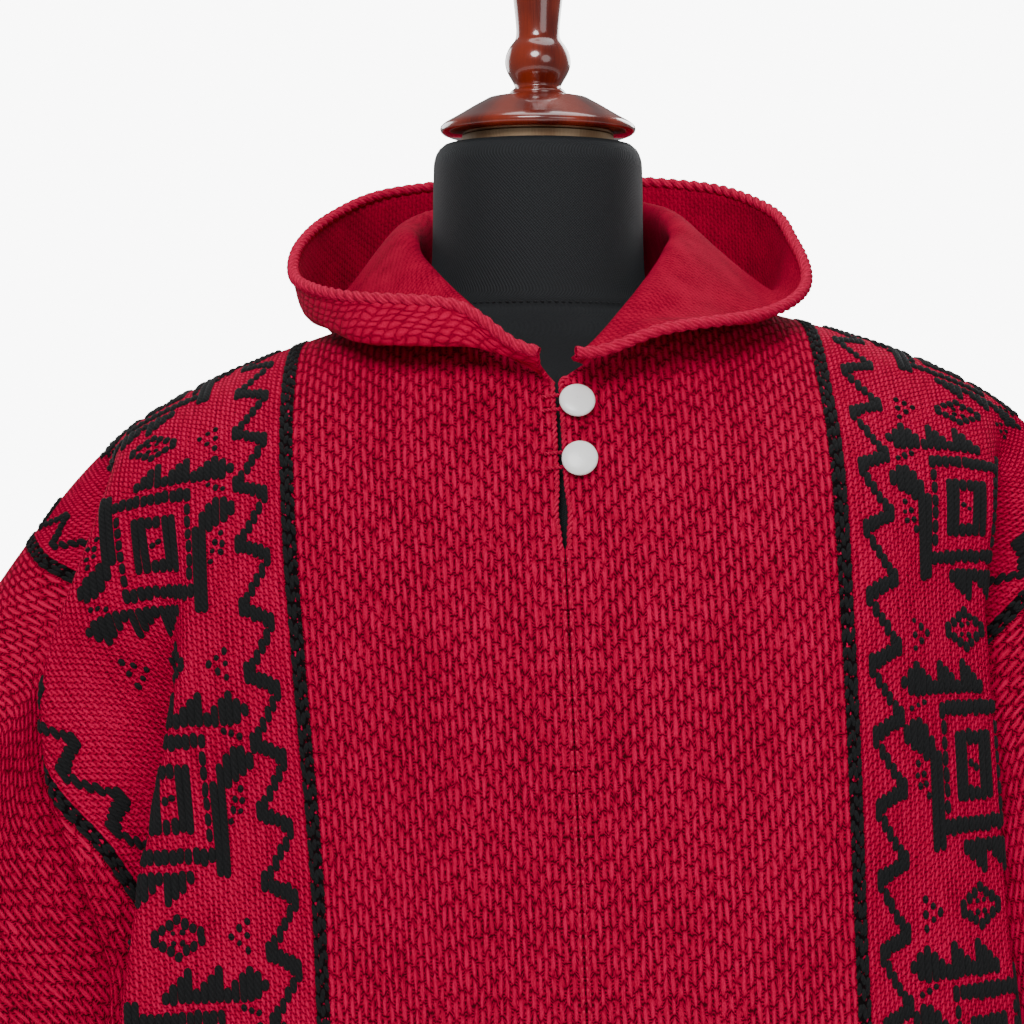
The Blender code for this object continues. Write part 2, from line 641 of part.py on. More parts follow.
def loop_path(trees, s, u):
    """From the left panel, over the slit, round the button's shank and back."""
    legs = [(-LOOP_FOOT + (u + LOOP_FOOT) * i / 6, -LOOP_BEND) for i in range(6)]
    bend = []
    for i in range(7):
        angle = math.radians(-90 + 30 * i)
        bend.append((u + LOOP_BEND * math.cos(angle), LOOP_BEND * math.sin(angle)))
    path = []
    for across, along in legs + bend + [(x, -y) for x, y in reversed(legs)]:
        side = "right" if across >= 0 else "left"
        place, normal = on_facets(trees[side], panel_point(side, s + along, max(abs(across), 0.002))[0])
        path.append(place + (LOOP_RADIUS + GAP) * normal)
    return path


# ---------------------------------------------------------------- build


def build():
    for old in list(bpy.data.objects):
        bpy.data.objects.remove(old)
    trees = {}
    for side in ("left", "right"):
        mesh = shell_mesh("panel_" + side, panel_grid(side), CLOTH, side == "left")
        add("panel_" + side, mesh, WOOL, 60)
        places = [vertex.co for vertex in mesh.vertices]
        trees[side] = BVHTree.FromPolygons(places, [face.vertices[:] for face in mesh.polygons])
    grid = hood_grid()
    add("hood", shell_mesh("hood", grid, CLOTH, False), WOOL, 60)
    add("hood_edging", tube_mesh("hood_edging", edging_path(grid), RIM_RADIUS, 6), WOOL, 60)
    for place, (s, u) in BUTTONS.items():
        add("button_" + place, button_mesh("button_" + place, trees, s, u), PLASTIC, 40)
        add("loop_" + place, tube_mesh("loop_" + place, loop_path(trees, s, u), LOOP_RADIUS, 6), WOOL, 60)
    add("form_body", form_mesh("form_body"), FORM_CLOTH, 40)
    add("cap_disc", turned_mesh("cap_disc", CAP_DISC, DATUM, TURNED_SEGMENTS), BARE, 40)
    add("neck_cap", turned_mesh("neck_cap", NECK_CAP, DATUM, TURNED_SEGMENTS), VARNISHED, 40)
    add("finial", turned_mesh("finial", FINIAL, DATUM, TURNED_SEGMENTS), VARNISHED, 40)
    add("hip_plate", turned_mesh("hip_plate", HIP_PLATE, DATUM, TURNED_SEGMENTS), BARE, 40)
    pole = ((POLE_RADIUS, POLE_FOOT), (POLE_RADIUS, DATUM + POLE_HEAD))
    add("pole", turned_mesh("pole", pole, 0.0, POLE_SEGMENTS), VARNISHED, 40)
    add("base", turned_mesh("base", BASE, 0.0, TURNED_SEGMENTS), VARNISHED, 40)


build()
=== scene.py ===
"""Looks of a hooded andean poncho on a black, limbless dress form.

Metres, +Z up.  The front faces -Y.  "left" is -X and "right" is +X, as a person facing the front sees.
A point of a panel is named by u, its distance across the cloth from the centre seam, and s, its
distance along the cloth from the shoulder line: s > 0 runs down the front, s < 0 down the back.
"""

import math

import bpy
import numpy as np
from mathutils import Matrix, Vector


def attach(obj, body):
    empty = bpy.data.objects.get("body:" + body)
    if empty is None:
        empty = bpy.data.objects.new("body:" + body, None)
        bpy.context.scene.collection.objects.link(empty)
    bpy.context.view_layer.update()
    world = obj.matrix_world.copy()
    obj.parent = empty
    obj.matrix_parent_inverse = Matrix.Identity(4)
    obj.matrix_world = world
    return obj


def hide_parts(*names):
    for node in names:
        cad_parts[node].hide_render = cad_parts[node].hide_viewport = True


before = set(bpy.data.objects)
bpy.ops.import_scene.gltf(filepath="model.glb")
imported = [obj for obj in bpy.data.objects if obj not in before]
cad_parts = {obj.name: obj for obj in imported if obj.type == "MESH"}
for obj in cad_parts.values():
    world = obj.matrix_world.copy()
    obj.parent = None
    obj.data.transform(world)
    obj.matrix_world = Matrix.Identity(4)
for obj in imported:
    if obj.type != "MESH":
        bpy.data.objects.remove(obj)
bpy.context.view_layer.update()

# -------- the cloth's cut and drape

DATUM = 1.270                 # height of the chest line that the heights below are given from
PANEL_WIDTH = 0.680
PANEL_LENGTH = 0.950          # shoulder line to either hem
CLOTH = 0.0025

NECK_FRONT_S = 0.143
NECK_SIDE_S = 0.020
NECK_BACK_S = -0.052
NECK_SIDE_U = 0.092
SLIT_END_S = 0.240
SLIT_HALF_GAP = 0.0016
SEAM_HALF_GAP = 0.0002
SEAM_U = 0.0012               # where the seams' stitches go through the cloth
SLIT_GAPE = 0.0014            # the slit's edges curl apart a little below the lower button
SLIT_GAPE_S = 0.219
SLIT_GAPE_LENGTH = 0.011

SHOULDER_TOP = 0.150
SHOULDER_Y = 0.022
ROLL = math.radians(2.6)
ROLL_X = 0.006
FOLD_TURN_LENGTH = 0.022
FADE_POWER = 1.5              # how the shoulders' slope fades down the cloth
CREASE_BOW = 0.006            # how far a crease strays from its straight line
HEM_ROLL = 0.0007             # how much the cloth thickens at its edges
SIDEWAYS = {"left": -1.0, "right": 1.0}

ROW_STEPS = 1361              # points of the sum along a row of weft
CENTRE_STEPS = 80             # steps of the sum along the centre line
OUTLINE_STEPS = 241           # points of the neckline's length
LATTICE = (421, 273)          # rows and columns of the face that all pieces lie on
PANEL_COLUMNS = 176
HOOD_POINTS = 44
HOOD_STATIONS = 96

SHOULDER_DIP = {
    "u":   (0.00, 0.10, 0.15, 0.20, 0.24, 0.28, 0.32, 0.36, 0.45, 0.55, 0.68),
    "dip": (17.0, 17.0, 18.0, 24.0, 31.0, 42.0, 50.0, 53.0, 58.0, 62.0, 65.0),
}
DIP_DECAY = {
    "u":      (0.00, 0.15, 0.24, 0.34, 0.50, 0.68),
    "length": (0.14, 0.15, 0.24, 0.80, 1.20, 1.30),
}
CENTRE_FRONT = {
    "s":     (0.00, 0.04, 0.08, 0.12, 0.16, 0.20, 0.30, 0.40, 0.95),
    "pitch": (4.0, 22.0, 40.0, 55.0, 66.0, 74.0, 84.0, 89.0, 90.0),
}
CENTRE_BACK = {
    "s":     (0.00, 0.04, 0.08, 0.12, 0.16, 0.20, 0.30, 0.40, 0.95),
    "pitch": (4.0, 26.0, 46.0, 60.0, 70.0, 77.0, 85.0, 89.0, 90.0),
}
HEADING_U = (0.00, 0.08, 0.152, 0.21, 0.26, 0.36, 0.50, 0.68)
HEADING = {                   # heading of a row, in degrees turned from straight sideways to the back
    "front_left": {
        0.00: (2, 2, 2, 2, 2, 2, 2, 2),
        0.06: (-1, 3, 6, 8, 8, 0, 0, 0),
        0.12: (-3, 4, 8, 11, 11, -6, -5, -3),
        0.20: (-2, 8, 12, 9, 3, -6, -5, -4),
        0.28: (3, 13, 14, 5, -3, -9, -6, -4),
        0.42: (10, 21, 17, 1, -8, -14, -8, -4),
        0.60: (13, 23, 15, 0, -8, -14, -8, -4),
        0.95: (13, 22, 14, 0, -8, -14, -8, -4),
    },
    "front_right": {
        0.00: (2, 2, 2, 2, 2, 2, 2, 2),
        0.06: (1, 4, 7, 8, 8, 0, 0, 0),
        0.12: (3, 6, 10, 14, 14, -5, -4, -3),
        0.20: (-3, 2, 14, 24, 26, -8, -6, -4),
        0.28: (-6, 0, 18, 36, 38, -8, -6, -4),
        0.42: (-10, -4, 18, 34, 38, -8, -6, -4),
        0.60: (-13, -8, 12, 30, 34, -8, -5, -4),
        0.95: (-13, -9, 6, 24, 28, -8, -4, -4),
    },
    "back_left": {
        0.00: (-2, -2, -2, -2, -2, -2, -2, -2),
        0.06: (-1, -1, 1, 3, 3, -1, 0, 0),
        0.12: (0, 0, 4, 7, 7, -4, -3, -2),
        0.28: (0, 3, 11, 14, 14, -8, -5, -3),
        0.42: (1, 4, 10, 13, 13, -8, -5, -3),
        0.60: (2, 5, 9, 12, 12, -8, -5, -3),
        0.95: (2, 5, 8, 12, 12, -8, -5, -3),
    },
    "back_right": {
        0.00: (-2, -2, -2, -2, -2, -2, -2, -2),
        0.06: (-1, -1, 1, 3, 3, -1, 0, 0),
        0.12: (0, 0, 4, 7, 7, -4, -3, -2),
        0.28: (0, 3, 11, 15, 14, -8, -5, -3),
        0.42: (-2, 3, 11, 15, 14, -8, -5, -3),
        0.60: (-4, 2, 11, 15, 14, -8, -5, -3),
        0.95: (-4, 2, 10, 15, 15, -8, -5, -3),
    },
}

# Three folds for each quarter, from the centre out.  Each row: depth down the cloth, where the fold's
# front edge lies across it, the width of the hidden return, and how far the cloth turns back, in degrees.
FOLDS = {
    "front_left": (
        ((0.17, 0.200, 0.000, 0), (0.24, 0.210, 0.000, 40), (0.31, 0.226, 0.007, 112),
         (0.36, 0.240, 0.020, 144), (0.42, 0.256, 0.034, 152), (0.60, 0.285, 0.040, 152),
         (0.95, 0.300, 0.044, 152)),
        ((0.05, 0.250, 0.000, 0), (0.11, 0.258, 0.002, 70), (0.17, 0.270, 0.018, 150),
         (0.31, 0.348, 0.030, 155), (0.37, 0.372, 0.034, 155), (0.60, 0.415, 0.038, 155),
         (0.95, 0.440, 0.040, 155)),
        ((0.16, 0.520, 0.010, 0), (0.35, 0.535, 0.016, 45), (0.60, 0.555, 0.018, 60),
         (0.95, 0.570, 0.020, 66)),
    ),
    "front_right": (
        ((0.30, 0.090, 0.020, 0), (0.60, 0.090, 0.024, 14), (0.95, 0.090, 0.026, 24)),
        ((0.08, 0.252, 0.000, 0), (0.15, 0.254, 0.000, 60), (0.20, 0.256, 0.012, 120),
         (0.28, 0.256, 0.036, 140), (0.42, 0.258, 0.052, 150), (0.60, 0.264, 0.060, 152),
         (0.95, 0.272, 0.066, 154)),
        ((0.18, 0.500, 0.010, 0), (0.35, 0.520, 0.018, 50), (0.60, 0.540, 0.022, 66),
         (0.95, 0.555, 0.024, 72)),
    ),
    "back_left": (
        ((0.24, 0.100, 0.016, 0), (0.50, 0.100, 0.022, 22), (0.95, 0.104, 0.026, 34)),
        ((0.06, 0.256, 0.004, 0), (0.12, 0.258, 0.006, 45), (0.18, 0.262, 0.016, 125),
         (0.32, 0.276, 0.034, 155), (0.60, 0.296, 0.048, 160), (0.95, 0.310, 0.054, 160)),
        ((0.16, 0.440, 0.012, 0), (0.36, 0.450, 0.016, 44), (0.60, 0.462, 0.018, 56),
         (0.95, 0.470, 0.020, 62)),
    ),
    "back_right": (
        ((0.28, 0.110, 0.018, 0), (0.55, 0.106, 0.022, 20), (0.95, 0.104, 0.024, 30)),
        ((0.06, 0.246, 0.004, 0), (0.12, 0.250, 0.006, 45), (0.18, 0.258, 0.012, 120),
         (0.32, 0.268, 0.030, 155), (0.60, 0.286, 0.044, 160), (0.95, 0.300, 0.050, 160)),
        ((0.18, 0.450, 0.012, 0), (0.36, 0.460, 0.016, 46), (0.60, 0.474, 0.018, 58),
         (0.95, 0.484, 0.020, 64)),
    ),
}

# Soft creases besides the folds: where each begins and ends (s, u), its half width and its depth.
# A negative depth is a soft ridge.
CREASES = {
    "left": (
        ((0.150, 0.040), (0.420, 0.120), 0.020, 0.0030),
        ((0.250, 0.020), (0.560, 0.075), 0.016, 0.0022),
        ((0.100, 0.120), (0.300, 0.185), 0.016, -0.0024),
        ((0.420, 0.150), (0.800, 0.170), 0.024, -0.0040),
        ((0.480, 0.060), (0.930, 0.085), 0.022, 0.0038),
        ((0.300, 0.400), (0.700, 0.470), 0.022, 0.0040),
        ((0.450, 0.480), (0.930, 0.515), 0.018, -0.0036),
        ((0.260, 0.560), (0.900, 0.620), 0.020, 0.0036),
        ((0.060, 0.300), (0.260, 0.420), 0.018, 0.0026),
        ((-0.120, 0.060), (-0.500, 0.105), 0.022, 0.0036),
        ((-0.250, 0.030), (-0.820, 0.050), 0.020, -0.0030),
        ((-0.150, 0.170), (-0.560, 0.190), 0.020, -0.0034),
        ((-0.480, 0.150), (-0.900, 0.200), 0.018, 0.0030),
        ((-0.280, 0.380), (-0.820, 0.405), 0.022, 0.0040),
        ((-0.350, 0.520), (-0.900, 0.560), 0.024, -0.0036),
        ((-0.060, 0.300), (-0.240, 0.360), 0.018, 0.0026),
    ),
    "right": (
        ((0.150, 0.050), (0.400, 0.130), 0.018, 0.0026),
        ((0.260, 0.030), (0.600, 0.050), 0.016, -0.0022),
        ((0.110, 0.130), (0.330, 0.200), 0.018, -0.0028),
        ((0.360, 0.165), (0.760, 0.190), 0.022, 0.0040),
        ((0.560, 0.120), (0.940, 0.150), 0.020, -0.0034),
        ((0.500, 0.030), (0.920, 0.045), 0.018, 0.0028),
        ((0.260, 0.360), (0.700, 0.420), 0.022, 0.0040),
        ((0.420, 0.450), (0.900, 0.470), 0.018, -0.0032),
        ((0.300, 0.580), (0.880, 0.610), 0.022, 0.0036),
        ((0.060, 0.300), (0.240, 0.400), 0.018, 0.0024),
        ((-0.140, 0.050), (-0.560, 0.080), 0.020, 0.0034),
        ((-0.300, 0.160), (-0.800, 0.185), 0.024, -0.0034),
        ((-0.100, 0.140), (-0.420, 0.200), 0.018, 0.0028),
        ((-0.260, 0.370), (-0.700, 0.410), 0.022, 0.0038),
        ((-0.420, 0.540), (-0.920, 0.570), 0.022, -0.0034),
        ((-0.080, 0.300), (-0.260, 0.380), 0.016, 0.0024),
    ),
}

# -------- the woven figures

STRIPES = (0.152, 0.345)      # places u of the two black stripes
STRIPE_HALF = 0.0038
BAND = (0.156, 0.341)         # the figured band, in basket weave
BAND_MIDDLE = 0.2500
FIGURE_MIDDLE = 0.2325
ZIGZAG_PERIOD = 0.0395
ZIGZAG_PHASE = 0.070          # s of a corner that points at the centre seam
ZIGZAG_EDGE = 0.1655          # u of those corners
ZIGZAG_PITCH = 0.0033         # from one column of the zigzag's floats to the next
PITCH = 0.0043                # from one column of the figures' floats to the next
REPEAT = 4 * ZIGZAG_PERIOD
MEDALLION_S = 0.209           # s of the middle of one medallion

# One zigzag period: (column from the corner, place along it, length of the float, half its width).
ZIGZAG = (
    (4.0, -0.0062, 0.0098, 0.0022), (3.0, -0.0046, 0.0098, 0.0022), (2.0, -0.0030, 0.0100, 0.0022),
    (1.0, -0.0010, 0.0112, 0.0022), (0.0, 0.0018, 0.0134, 0.0024), (1.0, 0.0100, 0.0100, 0.0022),
    (2.0, 0.0156, 0.0094, 0.0022), (3.0, 0.0210, 0.0094, 0.0022), (4.0, 0.0262, 0.0096, 0.0022),
    (5.0, 0.0310, 0.0128, 0.0024),
)


def medallion_floats():
    """Half of the point-symmetric figure round a medallion: (column, top, bottom, width share), in mm."""
    floats = []
    for column in range(-2, 10):      # the crown: three ramps on a bar
        ramp = ((column + 2) % 4) / 3.0
        floats.append((column, -50.0 - 12.0 * ramp, -41.0, 1.0))
    for column, top, bottom in ((10, -58.5, -42.5), (11, -54.0, -46.5)):
        floats.append((column, top, bottom, 1.0))      # its round inner end
    for column in (6, 7):             # the long bar to the lower crown
        floats.append((column, -10.0 - 3.0 * (column - 6), 46.0, 1.0))
    for column, top, bottom in ((7, -20.0, -4.0), (8, -26.0, -5.0), (9, -30.0, -9.0),
                                (10, -30.5, -12.0), (11, -27.0, -15.5)):
        floats.append((column, top, bottom, 1.0))      # the leaf
    for column in range(-5, 6):       # the frame's bar and side
        floats.append((column, -38.3 + 0.6 * (column % 2), -28.5 + 0.6 * (column % 2), 1.0))
    for step in range(6):
        floats.append((4.9, -27.0 + 8.8 * step, -18.3 + 8.8 * step, 0.85))
    for column in (1.6, 2.6):         # half of the thick ring
        floats.append((column, -20.5, 20.5, 1.0))
    for column in (-0.6, 0.5):
        floats.append((column, -20.5, -11.0, 1.0))
    floats.append((0.45, -3.4, 1.2, 0.9))              # the dot in its middle
    for column, middle in ((8, -38.5), (9, -36.6), (10, -35.2), (9.5, -5.0), (8.6, 1.0), (9.6, 1.4),
                           (8.3, 7.2), (9.3, 7.8), (7.9, 13.5)):
        floats.append((column, middle - 2.2, middle + 2.2, 0.8))
    return floats


def diamond_floats():
    """Half of the figure round a diamond, the other half being its point reflection."""
    floats = []
    for column in range(-3, 4):
        middle = -10.5 + 2.9 * abs(column)
        floats.append((column, middle - 3.4, middle + 3.4, 1.0))
    floats += [(-0.6, -5.0, -1.2, 0.85), (0.6, -5.0, -1.2, 0.85)]
    for column, middles in ((9.0, (-8.0, 0.0, 8.0)), (7.9, (-4.0, 4.0)), (6.8, (0.0,))):
        for middle in middles:
            floats.append((column, middle - 2.3, middle + 2.3, 0.8))
    return floats


def row_skew(s):
    """How far a figure leans against the rows of weft, so that it sits level where the cloth dips."""
    if s < 0.10:
        return 0.0
    dip = interpolate(FIGURE_MIDDLE, SHOULDER_DIP["u"], SHOULDER_DIP["dip"])
    length = float(interpolate(FIGURE_MIDDLE, DIP_DECAY["u"], DIP_DECAY["length"]))
    fade = math.exp(-(s / length) ** FADE_POWER)
    return 0.8 * math.tan(math.radians(float(dip) * fade))


def figure_stitches():
    """Every black float of one panel's band: start (s, u), end (s, u) and half width."""
    stitches = []
    periods = range(-int(PANEL_LENGTH / ZIGZAG_PERIOD) - 2, int(PANEL_LENGTH / ZIGZAG_PERIOD) + 1)
    for period in periods:
        corner = ZIGZAG_PHASE + period * ZIGZAG_PERIOD
        for column, place, length, half in ZIGZAG:
            inner = ZIGZAG_EDGE + column * ZIGZAG_PITCH
            for u in (inner, 2 * BAND_MIDDLE - inner):
                start = corner + place - 0.5 * length
                stitches.append((start, u, start + length, u, half))
    repeats = range(-int(PANEL_LENGTH / REPEAT) - 2, int(PANEL_LENGTH / REPEAT) + 2)
    for repeat in repeats:
        middle = MEDALLION_S + repeat * REPEAT
        for floats, centre in ((medallion_floats(), middle), (diamond_floats(), middle + 0.5 * REPEAT)):
            for column, top, bottom, share in floats:
                for sign in (1.0, -1.0):
                    u = FIGURE_MIDDLE - sign * column * PITCH
                    level = centre - row_skew(centre) * (u - FIGURE_MIDDLE)
                    ends = sorted((level + 0.001 * sign * top, level + 0.001 * sign * bottom))
                    stitches.append((ends[0], u, ends[1], u, 0.58 * PITCH * share))
    return [row for row in stitches if -PANEL_LENGTH + 0.004 < row[0] and row[2] < PANEL_LENGTH - 0.004]


def stripe_stitches(rng):
    """The braided floats of the two black stripes, with gaps where the red shows."""
    stitches = []
    for middle in STRIPES:
        for column, length, gap in ((-1, 0.0098, 0.0006), (0, 0.0082, 0.0010), (1, 0.0064, 0.0024)):
            s = -PANEL_LENGTH + 0.004 + 0.003 * (column + 1)
            while s < PANEL_LENGTH - 0.014:
                size = length * rng.uniform(0.75, 1.2)
                lean = 0.0007 * (1 if column == 0 else -1) * rng.uniform(0.4, 1.2)
                u = middle - column * 0.0026
                stitches.append((s, u - lean, s + size, u + lean, 0.00155))
                s += size + gap * rng.uniform(0.3, 1.8)
    return stitches


# -------- the hood, form and turned pieces

RIM_RADIUS = 0.0034
ROPE_STEP = 0.0011            # length of a step along the edging and the slit's edges
EDGING_ROPE = (0.0028, 8, 0.0150, 0.0009)      # a strand's radius, sides, lay and spread
SLIT_ROPE = (0.0012, 7, 0.0070, 0.0006)
LOOP_ROPE = (0.00075, 6, 0.0040, 0.00045)
LOOP_STEP = 0.0006
SEAM_STITCH = 0.0054          # length of a seam's stitch, and from one to the next
SEAM_STEP = 0.0058
LOOP_RADIUS = 0.0010
LOOP_BEND = 0.0042            # radius of the loop's bend round the shank
LOOP_FOOT = 0.0090            # where its legs are sewn on, from the centre
CREST_ARCH = 60.0             # how quickly the hood's crest falls to its sides
HOOD_START = {"left": 0.0, "right": 0.05}      # where its two sides start, as a share of the way round
HOOD_FOOT = (0.002, 0.0012, 0.0015)            # its foot: across from the seam, out of the cloth and up
BUTTONS = {"upper": (0.156, 0.0105), "lower": (0.190, 0.0105)}      # places s and u

# The hood from the slit (0) round one side to the middle of the back (1).  Radii are measured from the
# neck's axis and heights from the datum.  The crest, twice crest_w wide, stands by the neck, the trough,
# twice trough_w wide, is the hollow of the hood, and the rim is its face opening.
# Columns: along, angle, crest_r, crest_w, crest_z, trough_r, trough_w, trough_z, rim_r, rim_z.
HOOD = {
    "left": (
        (0.00, 3, 0.099, 0.003, 0.081, 0.108, 0.003, 0.083, 0.115, 0.087),
        (0.10, 10, 0.097, 0.003, 0.088, 0.105, 0.002, 0.086, 0.113, 0.092),
        (0.24, 27, 0.090, 0.007, 0.113, 0.114, 0.004, 0.092, 0.119, 0.113),
        (0.40, 52, 0.084, 0.010, 0.138, 0.131, 0.005, 0.095, 0.134, 0.118),
        (0.55, 80, 0.083, 0.010, 0.158, 0.133, 0.006, 0.109, 0.144, 0.131),
        (0.70, 106, 0.085, 0.011, 0.173, 0.138, 0.007, 0.120, 0.151, 0.158),
        (0.78, 124, 0.087, 0.011, 0.181, 0.150, 0.008, 0.106, 0.158, 0.178),
        (0.86, 144, 0.089, 0.011, 0.188, 0.161, 0.011, 0.076, 0.164, 0.198),
        (1.00, 180, 0.091, 0.011, 0.194, 0.167, 0.012, 0.034, 0.158, 0.213),
    ),
    "right": (
        (0.00, 3, 0.099, 0.003, 0.081, 0.108, 0.003, 0.083, 0.115, 0.087),
        (0.10, 11, 0.097, 0.003, 0.090, 0.106, 0.002, 0.087, 0.114, 0.088),
        (0.24, 29, 0.088, 0.007, 0.116, 0.111, 0.003, 0.106, 0.124, 0.101),
        (0.40, 54, 0.078, 0.009, 0.142, 0.126, 0.005, 0.108, 0.138, 0.110),
        (0.55, 80, 0.075, 0.010, 0.162, 0.132, 0.006, 0.118, 0.147, 0.128),
        (0.70, 106, 0.078, 0.011, 0.176, 0.137, 0.007, 0.128, 0.151, 0.160),
        (0.78, 124, 0.082, 0.011, 0.184, 0.151, 0.008, 0.116, 0.162, 0.184),
        (0.86, 144, 0.086, 0.011, 0.190, 0.161, 0.011, 0.082, 0.166, 0.202),
        (1.00, 180, 0.091, 0.011, 0.194, 0.167, 0.012, 0.034, 0.158, 0.213),
    ),
}

# Soft waves of the hood: share of the way round, share of the section, half widths of both, depth.
HOOD_WAVES = {
    "left": (
        (0.20, 0.80, 0.05, 0.20, 0.0022), (0.34, 0.45, 0.06, 0.14, -0.0024),
        (0.47, 0.85, 0.06, 0.16, 0.0026), (0.58, 0.30, 0.07, 0.12, 0.0020),
        (0.70, 0.70, 0.06, 0.20, -0.0030), (0.84, 0.55, 0.05, 0.24, 0.0034),
        (0.93, 0.80, 0.04, 0.22, -0.0026),
    ),
    "right": (
        (0.18, 0.82, 0.05, 0.18, -0.0018), (0.30, 0.50, 0.06, 0.14, 0.0024),
        (0.44, 0.80, 0.06, 0.18, -0.0026), (0.56, 0.35, 0.06, 0.14, -0.0020),
        (0.68, 0.75, 0.06, 0.18, 0.0030), (0.82, 0.60, 0.05, 0.22, -0.0032),
        (0.92, 0.75, 0.04, 0.22, 0.0028),
    ),
}

# Dress form sections: height above the datum, half width, reach to the front, reach to the back.
FORM = (
    (-0.500, 0.136, 0.084, 0.104),
    (-0.492, 0.146, 0.092, 0.112),
    (-0.440, 0.150, 0.094, 0.116),
    (-0.340, 0.138, 0.088, 0.102),
    (-0.260, 0.134, 0.088, 0.092),
    (-0.180, 0.146, 0.100, 0.094),
    (-0.100, 0.160, 0.114, 0.101),
    (-0.020, 0.176, 0.110, 0.104),
    (0.020, 0.182, 0.102, 0.098),
    (0.045, 0.180, 0.094, 0.090),
    (0.062, 0.168, 0.085, 0.082),
    (0.076, 0.146, 0.077, 0.076),
    (0.088, 0.118, 0.071, 0.071),
    (0.100, 0.090, 0.067, 0.067),
    (0.112, 0.071, 0.063, 0.064),
    (0.126, 0.063, 0.061, 0.062),
    (0.160, 0.061, 0.060, 0.060),
    (0.200, 0.0605, 0.0595, 0.0595),
    (0.208, 0.0585, 0.0575, 0.0575),
    (0.212, 0.0545, 0.0535, 0.0535),
)

# Turned pieces: radius and height above the datum, from the bottom up.
CAP_DISC = ((0.0430, 0.2125), (0.0440, 0.2160), (0.0440, 0.2175))
NECK_CAP = (
    (0.0520, 0.2180), (0.0560, 0.2195), (0.0570, 0.2225), (0.0545, 0.2250), (0.0500, 0.2275),
    (0.0440, 0.2310), (0.0375, 0.2350), (0.0320, 0.2380), (0.0285, 0.2400), (0.0200, 0.2405),
)
FINIAL = (
    (0.0160, 0.2410), (0.0165, 0.2430), (0.0150, 0.2445), (0.0128, 0.2460), (0.0150, 0.2500),
    (0.0180, 0.2550), (0.0192, 0.2600), (0.0186, 0.2650), (0.0162, 0.2700), (0.0130, 0.2735),
    (0.0124, 0.2780), (0.0130, 0.2860), (0.0146, 0.3000), (0.0160, 0.3140), (0.0156, 0.3240),
    (0.0132, 0.3320), (0.0112, 0.3370), (0.0118, 0.3400), (0.0176, 0.3480), (0.0204, 0.3580),
    (0.0196, 0.3680), (0.0150, 0.3770), (0.0070, 0.3820),
)
HIP_PLATE = ((0.0700, -0.5180), (0.0740, -0.5160), (0.0740, -0.5040), (0.0700, -0.5003))
BASE = (                      # radius and height above the floor
    (0.2050, 0.0000), (0.2100, 0.0040), (0.2100, 0.0140), (0.2020, 0.0210), (0.1700, 0.0270),
    (0.1200, 0.0310), (0.0700, 0.0360), (0.0450, 0.0440), (0.0340, 0.0540), (0.0280, 0.0600),
)

FORM_NECK_SEAM = 0.1165       # height of the form's stitched neck seam, above the datum
POLE_RADIUS = 0.0165
POLE_FOOT = 0.0603
POLE_HEAD = -0.5183

# -------- numbers from tables


def smooth(value):
    """Ease from 0 to 1."""
    value = np.clip(value, 0.0, 1.0)
    return value * value * (3.0 - 2.0 * value)


def interpolate(x, xs, ys):
    """Cubic through the table's points, with slopes that never overshoot."""
    xs = np.asarray(xs, float)
    ys = np.asarray(ys, float)
    steps = np.diff(xs)
    rises = np.diff(ys, axis=0) / steps.reshape((-1,) + (1,) * (ys.ndim - 1))
    slopes = np.zeros_like(ys)
    same_way = rises[:-1] * rises[1:] > 0
    total = np.where(same_way, rises[:-1] + rises[1:], 1.0)
    slopes[1:-1] = np.where(same_way, 2.0 * rises[:-1] * rises[1:] / total, 0.0)
    slopes[0] = rises[0]
    slopes[-1] = rises[-1]
    x = np.clip(np.asarray(x, float), xs[0], xs[-1])
    cell = np.clip(np.searchsorted(xs, x, side="right") - 1, 0, len(xs) - 2)
    span = steps[cell]
    t = (x - xs[cell]) / span
    if ys.ndim > 1:
        t = t[..., None]
        span = span[..., None]
    ease = t * t * (3.0 - 2.0 * t)
    bend = span * (t * (1 - t) ** 2 * slopes[cell] - t * t * (1 - t) * slopes[cell + 1])
    return ys[cell] * (1 - ease) + ys[cell + 1] * ease + bend


def distances(line):
    """How far along a line each of its points lies."""
    return np.concatenate(([0.0], np.cumsum(np.linalg.norm(np.diff(line, axis=0), axis=1))))


def spaced(line, count):
    """The same line as that many points, evenly apart."""
    run = distances(line)
    places = np.linspace(0.0, run[-1], count)
    return np.stack([np.interp(places, run, line[:, k]) for k in range(3)], axis=1)


def resampled(path, step):
    """The same line with even steps of about that length."""
    path = np.asarray(path, float)
    return spaced(path, max(2, int(distances(path)[-1] / step)))


def cut_corners(points, times):
    """The line with each corner cut, so that it reads as a curve.  Its ends stay."""
    points = np.asarray(points, float)
    for _ in range(times):
        cut = [points[0]]
        for before, after in zip(points[:-1], points[1:]):
            cut += [0.75 * before + 0.25 * after, 0.25 * before + 0.75 * after]
        points = np.array(cut + [points[-1]])
    return points


def lattice_normals(lattice):
    """Unit normals of a lattice, by central differences."""
    normals = np.cross(np.gradient(lattice, axis=0), np.gradient(lattice, axis=1))
    return normals / np.maximum(np.linalg.norm(normals, axis=-1, keepdims=True), 1e-12)


# -------- the draped panel


def quarter(side, s):
    """Name of the quarter that a point at s lies in."""
    return ("front_" if s >= 0 else "back_") + side


def fold_rows(name, depth):
    """Position, width and turn, in radians, of the quarter's three folds at one depth."""
    rows = []
    for fold in FOLDS[name]:
        depths, places, widths, turns = np.array(fold, float).T
        rows.append((
            float(interpolate(depth, depths, places)),
            float(interpolate(depth, depths, widths)),
            math.radians(float(interpolate(depth, depths, turns))),
        ))
    return rows


